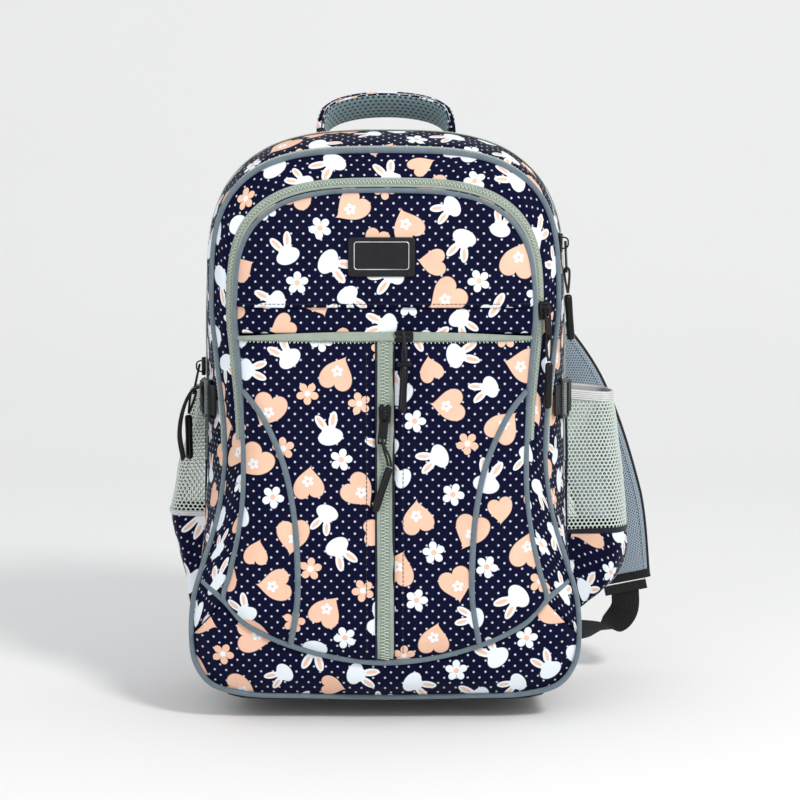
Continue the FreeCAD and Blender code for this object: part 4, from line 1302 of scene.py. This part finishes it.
def make_pockets():
    for name, (side, base, net, rim_z, rim_reach) in POCKETS.items():
        grid = pocket_wall(side, base, 40)
        out = away_from(grid, normals_of(grid), np.array([side * 150.0, 46.0, 120.0]))
        swell = np.sin(np.linspace(0, math.pi, 40))[:, None]
        grid = grid + out * ((ripple(grid, 26.0, 41.0) * 0.9
                              + ripple(grid * [1, 1, 0.35], 9.0, 47.0) * 0.5) * swell)[:, :, None]
        cloth = surface(f"{name}_pocket_base_fabric", grid, [PRINT, LINING],
                        centre=(side * 150, 46, 120))
        settle(cloth, "printed_fabric", None, f"{name}_pocket_base")
        mesh = pocket_wall(side, net, 36)
        mesh = mesh + away_from(mesh, normals_of(mesh), np.array([side * 150.0, 46.0, 190.0])) * (
            ripple(mesh, 30.0, 51.0)[:, :, None] * 0.8)
        knitted = hexagon_net(f"{name}_pocket_net", mesh)
        settle(knitted, "open_mesh", None, f"{name}_pocket_mesh")
        flat = pocket_bow(side, rim_reach)
        rise = 4.0 * (1 - np.clip((np.abs(flat[:, 0]) - 147) / (rim_reach - 147), 0, 1))
        rim = np.column_stack([flat, rim_z + rise])
        away = unit(np.gradient(rim, axis=0))
        away = unit(np.cross(away, [0, 0, -1.0 * side]))
        elastic = sweep(f"{name}_pocket_rim", rim, away, rounded_bar(8.6, 2.6, 1.1), [ELASTIC])
        flat = pocket_bow(side, net[0][1])
        belt = np.column_stack([flat, np.full(len(flat), net[0][0])])
        lower = sweep(f"{name}_pocket_belt", belt, away, rounded_bar(4.6, 2.2, 0.9),
                      [ELASTIC if side < 0 else NAVY_CLOTH])
        if side < 0:
            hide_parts("pocket_bindings")
        hems = []
        for column, end in ((2, "rear"), (-3, "front")):
            line = np.vstack([grid[:, column], mesh[:, column]])[::3]
            hems.append(sweep(f"{name}_pocket_hem_{end}", line, [side, 0, 0.001],
                              rounded_bar(6.0, 1.8, 0.7), [NAVY_CLOTH]))
        rides("bag", cloth, knitted, elastic, lower, *hems)


# ---------------------------------------------------------------- back, base and inside

def filled(name, ring, depth, rows, materials, bulge, innermost=0.96):
    """A sheet that fills a ring, as shrinking copies of its outline round a small centre."""
    line = ring.line(depth)[:-1]
    centre = line.mean(0)
    shares = np.linspace(0, innermost, rows)
    grid = np.array([line + (centre - line) * s for s in shares])
    grid[:, :, 1] += (bulge * (1 - np.exp(-shares / 0.12)))[:, None]
    count = len(line)
    faces = [tuple(f) for f in grid_faces(rows, count, close_cols=True)]
    faces.append(tuple((rows - 1) * count + i for i in range(count)))
    flat = grid.reshape(-1, 3)
    made = shaped(name, flat, faces, materials, flat[:, [0, 2]])
    shell = made.modifiers.new("thickness", "SOLIDIFY")
    shell.thickness, shell.offset = 1.2 * MM, -1
    shell.material_offset = len(materials) - 1
    return made


def make_back():
    panel = filled("back_panel_fabric", BACK, 0.5, 16, [NAVY_CLOTH], 2.4)
    settle(panel, "black_fabric", None, "back_panel")
    axes = ([-1, 0, 0], [0, 0, 1], [0, 1, 0])
    levels = [(2.5, 0), (0.7, 1.0), (0, 3.0), (0.8, 5.4), (2.8, 7.2), (6.5, 8.3), (12, 8.8),
              (20, 9.0)]
    pads = []
    for name, x, z, wide, high in (("left", -61, 270, 94, 240), ("right", 61, 270, 94, 240),
                                   ("lumbar", 0, 88, 216, 92)):
        outline = rounded_bar(wide, high, 24, 10)
        pads.append(merged(f"back_pad_{name}", [prism(outline, levels, (x, 92.3, z), axes)],
                           [SPACER], ([1, 0, 0], [0, 0, 1])))
        loop = np.array([(x + a, 92.6, z + b) for a, b in np.vstack([outline, outline[:1]])])
        edge = sweep(f"back_pad_binding_{name}", loop, [0, 1, 0.001], circle(1.7, 8), [BLACK_CLOTH])
        rides("bag", edge)
    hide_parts("back_pads")
    low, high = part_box("base_panel")
    low, high = np.array(low) / MM, np.array(high) / MM
    middle = (low + high) / 2
    slab = merged("base_panel_fabric", [block(high[0] - low[0], high[1] - low[1], 34, 0, 2.0,
                                              (middle[0], middle[1], low[2]),
                                              ([1, 0, 0], [0, 1, 0], [0, 0, 1]))],
                  [BLACK_CLOTH], ([1, 0, 0], [0, 1, 0]))
    settle(slab, "black_fabric", None, "base_panel")
    rides("bag", panel, slab, *pads)
    refinish("base_board", BLACK_PLASTIC)
    sheets = [filled(f"divider_{k}", SEAM_FRONT.toward(AT_OUTER, share), 3.6, 30, [LINING], 0.0,
                     0.98)
              for k, share in ((1, 0.03), (2, 0.90))]
    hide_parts("dividers", "lower_dividers", "divider_fold")
    bends(*sheets)
    z = smooth(MAIN, POINTS_PER_SPAN, True)[:, 1]
    right = int(np.argmax(z > FOLD_Z + 4))
    whole = np.array([SEAM_REAR.toward(SEAM_FRONT, s).line() for s in np.linspace(0, 1, 7)])
    left = SPANS * POINTS_PER_SPAN - right
    strip = np.concatenate([whole[:, left:-1], whole[:, :right + 1]], axis=1)
    out = away_from(strip, normals_of(strip), np.array([0, 0, 220.0]))
    strip = strip + out * (np.sin(np.linspace(0, math.pi, 7)) * 0.9 - 0.2)[:, None, None]
    binding = surface("lower_seam_binding", strip, [PRINT, LINING])
    settle(binding, "printed_fabric", "fold")


# ---------------------------------------------------------------- side buckles and badge

def make_side_straps():
    for name, side in (("left", -1), ("right", 1)):
        turn = math.atan2(17.0, 50.0)
        centre = np.array([side * 146.6, -22.0, 243.0])
        lengthways = np.array([side * math.sin(turn), math.cos(turn), 0])
        outwards = np.array([side * math.cos(turn), -math.sin(turn), 0])
        up = np.array([0, 0, 1.0])
        axes = (lengthways * side, up, outwards)
        bars = [block(3.0, 32.0, 1.2, -2, 2, centre + lengthways * s, axes, 0.6)
                for s in (-10.4, 10.4)]
        bars += [block(24.0, 3.2, 1.2, -2, 2, centre + up * s, axes, 0.6)
                 for s in (-14.4, 14.4)]
        lock = merged(f"side_buckle_{name}_frame", bars, [BLACK_PLASTIC])
        settle(lock, "black_plastic", None, f"side_buckle_{name}")
        bar = sweep(f"side_buckle_{name}_bar", centre + np.outer(np.linspace(-14, 14, 15), up),
                    outwards, rounded_bar(5.4, 4.6, 1.8), [GREY_WEBBING])
        anchor = webbing(f"side_anchor_{name}", [centre + lengthways * s for s in (-4, -12, -28)],
                         [0, 0, 1])
        rides("front_section", lock, bar, anchor)
        edge = np.array([side * 154.4, 0, 243.0])
        route = [edge + [0, 45, 0], edge + [0, 24, 0], edge + [0, 7, 0],
                 centre + lengthways * 12, centre + lengthways * 4]
        strap = webbing(f"side_webbing_{name}", route, [0, 0, 1])
        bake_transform(strap)
        if side < 0:
            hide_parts("side_webbing")
            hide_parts("buckle_anchors")
    loose = webbing("side_loose_end", [(-153.4, -17, 252), (-158.5, -17.5, 250), (-166, -17.5, 236),
                                       (-170, -17.5, 214), (-167, -17.5, 192)], [0, 1, 0], 10)
    settle(loose, "black_webbing", "front_section")


def make_badge():
    lean = math.atan(LEAN)
    up = np.array([0, math.sin(lean), math.cos(lean)])
    out = np.array([0, -math.cos(lean), math.sin(lean)])
    centre = np.array([-2.5, -104.2 + LEAN * 360.5, 360.5])
    axes = ([1, 0, 0], up, out)
    levels = [(0, -0.6), (0, 2.2), (0.3, 2.8), (0.9, 3.1), (1.6, 3.2)]
    plate = merged("label_badge_plate", [prism(rounded_bar(53, 31, 3.0, 5), levels, centre, axes)],
                   [BADGE])
    settle(plate, "badge", None, "label_badge")
    flat = rounded_bar(43.0, 21.6, 2.2, 5)
    flat = np.vstack([flat, flat[:1]])
    loop = (centre + out * 3.1 + np.outer(flat[:, 0], [1.0, 0, 0]) + np.outer(flat[:, 1] + 1.0, up))
    rim = sweep("label_badge_rim", loop, out, circle(0.42, 8), [RIM])
    rides("front_section", plate, rim)


# ---------------------------------------------------------------- zip sliders and pulls

def front_y(z):
    return -104.0 + LEAN * z


# point on the zip, outwards, stand-off, tab direction, swing aside, grip direction, lengthways
PULLS = {
    "vertical_zip": ((0, front_y(237), 237), (0, -1, 0), 0.6, (-0.10, -LEAN, -1), 8.0,
                     (-0.34, -LEAN, -1), (0, 0, 1)),
    "pocket_zip": ((15, front_y(POCKET_ZIP_Z), POCKET_ZIP_Z), (0, -1, 0), 0.6, (0.02, -LEAN, -1),
                   None, (-0.05, -LEAN - 0.19, -1), (-1, 0, 0)),
    "front_zip": ((123.8, -73.7, 318), (0.746, -0.666, 0), 2.4, (0.06, 0.03, -1), -1.5,
                  (-0.03, 0.02, -1), (0, 0, 1)),
    "second_zip": ((138.4, -46.2, 371), (0.985, -0.17, 0), 2.4, (0.05, 0, -1), -1.0,
                   (0.07, -0.06, -1), (0, 0, 1)),
    "main_zip": ((-148.0, 0, 268), (-1, 0, 0), 2.2, (-0.22, 0.03, -1), 2.0,
                 (0.02, -0.02, -1), (0, 0, 1)),
}
GRIP = [(0, 1.3), (0.25, 2.0), (0.9, 2.7), (2.0, 3.1), (4, 3.2), (18, 3.0), (33, 3.2), (35.2, 3.0),
        (36.4, 2.3), (37, 1.1)]


def tab_cord(at, swing):
    front = [at(swing + 1.05, 40.6, 0.3), at(swing * 0.8 + 1.7, 34.2, 1.2),
             at(swing * 0.3 + 1.0, 27.2, 2.0), at(0, 20.3, 2.3)]
    back = [at(swing - 1.05, 40.6, 0.3), at(swing * 0.8 - 1.5, 34.4, -0.6),
            at(swing * 0.3 - 0.9, 27.4, -1.7), at(0, 20.3, -2.1)]
    return front + list(reversed(back))


def eye_cord(at):
    return [at(-1.05, 21.6, 0.4), at(-1.3, 14.6, 0.3), at(-0.4, 7.4, -0.2), at(0, -3.9, 0),
            at(0, -3.9, 4.8), at(0.9, 6.6, 4.3), at(1.6, 14.4, 2.8), at(1.05, 21.6, 0.4)]


def make_slider(name, seat, along, out):
    """A slider's enamelled plate, notched where the two rows part, and its bridge."""
    across = np.cross(along, out)
    half = np.array([(3.0, -7.5), (4.3, -6.2), (4.9, 0.0), (5.0, 5.6), (3.6, 7.5), (1.6, 7.5)])
    outline = np.vstack([half, [(0, 5.6)], half[::-1] * [-1, 1]])
    axes = (across, along, out)
    plate = prism(outline, [(0.4, -0.6), (0, -0.1), (0, 1.9), (0.5, 2.4)], seat, axes)
    body = merged(f"{name}_slider_plate", [plate], [ENAMEL])
    arc = np.array([(4.5, 1.8), (4.3, 4.2), (3.3, 6.2), (1.6, 6.9), (0, 7.0), (-1.6, 6.9),
                    (-3.3, 6.2), (-4.3, 4.2), (-4.5, 1.8)])
    path = smooth(seat + np.outer(arc[:, 0], along) + np.outer(arc[:, 1], out), 3)
    middle = seat + out * 3.0
    bridge = sweep(f"{name}_slider_bridge", path, unit(path - middle),
                   rounded_bar(2.6, 1.2, 0.5, 2), [ENAMEL])
    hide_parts(f"{name}_pull_slider")
    rides(f"{name}_slider", body, bridge)


def make_tab(name, at, across, down, out):
    """The flat tab: a plate with a window at its foot, two arms and a pin through the slider."""
    axes = (across, -down, out)
    bars = [block(7.2, 13.6, 1.0, -0.8, 0.8, at(0, 12.6, 0), axes, 0.25),
            block(7.2, 2.2, 0.9, -0.8, 0.8, at(0, 22.9, 0), axes, 0.25)]
    for side in (-1, 1):
        bars.append(block(1.2, 5.0, 0.4, -0.8, 0.8, at(side * 3.0, 20.6, 0), axes, 0.2))
        bars.append(block(1.7, 8.6, 0.6, -0.8, 0.8, at(side * 2.75, 2.7, 0), axes, 0.25))
    bars.append(lathe(at(-2.4, 0, 0), across, [(0, 0.9), (0.2, 1.05), (4.6, 1.05), (4.8, 0.9)], 12))
    return merged(f"{name}_tab", bars, [ENAMEL])


def make_cord(name, points):
    data = bpy.data.curves.new(f"{name}_cord_line", "CURVE")
    data.dimensions = "3D"
    line = data.splines.new("NURBS")
    line.points.add(len(points) - 1)
    for i, p in enumerate(points):
        line.points[i].co = (*(np.asarray(p) * MM), 1.0)
    line.order_u, line.use_endpoint_u = 3, True
    line.resolution_u = 8
    data.bevel_depth, data.bevel_resolution = 1.0 * MM, 3
    data.materials.append(CORD_BLACK)
    made = bpy.data.objects.new(f"{name}_cord_line", data)
    bpy.context.scene.collection.objects.link(made)
    return made


def make_pull(name, eye, down, out, swing, hang):
    down, hang = unit(np.array(down, float)), unit(np.array(hang, float))
    across = unit(np.cross(out, down))
    out = unit(np.cross(down, across))

    def at(a, d, o):
        return eye + across * a + down * d + out * o

    pieces = []
    if swing is None:
        route, top = eye_cord(at), at(0, 22.5, 0.4)
        leaves, length = at(0, 0, 0), 0.054
        collar = block(12.0, 4.4, 2.0, -2.2, 2.2, at(0, 21.4, 0.4), (across, -down, out), 1.0)
        forms = [lathe(top, hang, GRIP), collar]
    else:
        route, top = tab_cord(at, swing), at(swing, 41.6, 0.3)
        leaves, length = at(0, 20.3, 0), 0.046
        pieces.append(make_tab(name, at, across, down, out))
        forms = [lathe(top, hang, GRIP)]
    grip = merged(f"{name}_grip_moulding", forms, [BLACK_PLASTIC])
    cord = make_cord(name, route)
    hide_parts(f"{name}_pull_cord")
    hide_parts(f"{name}_pull_grip")
    rides(f"{name}_pull", cord, grip, *pieces)
    tuple(leaves * MM)


def make_pulls():
    for name, (point, outward, proud, down, swing, hang, along) in PULLS.items():
        out, along = unit(np.array(outward, float)), np.array(along, float)
        seat = np.array(point, float) + out * proud
        make_slider(name, seat, along, out)
        make_pull(name, seat + out * 4.7, down, out, swing, hang)


# ---------------------------------------------------------------- build

make_gussets()
make_band()
make_front_panels()
make_arch_zips()
make_front_zips()
make_piping()
make_handle()
make_shoulder_straps()
make_pockets()
make_back()
make_side_straps()
make_badge()
make_pulls()
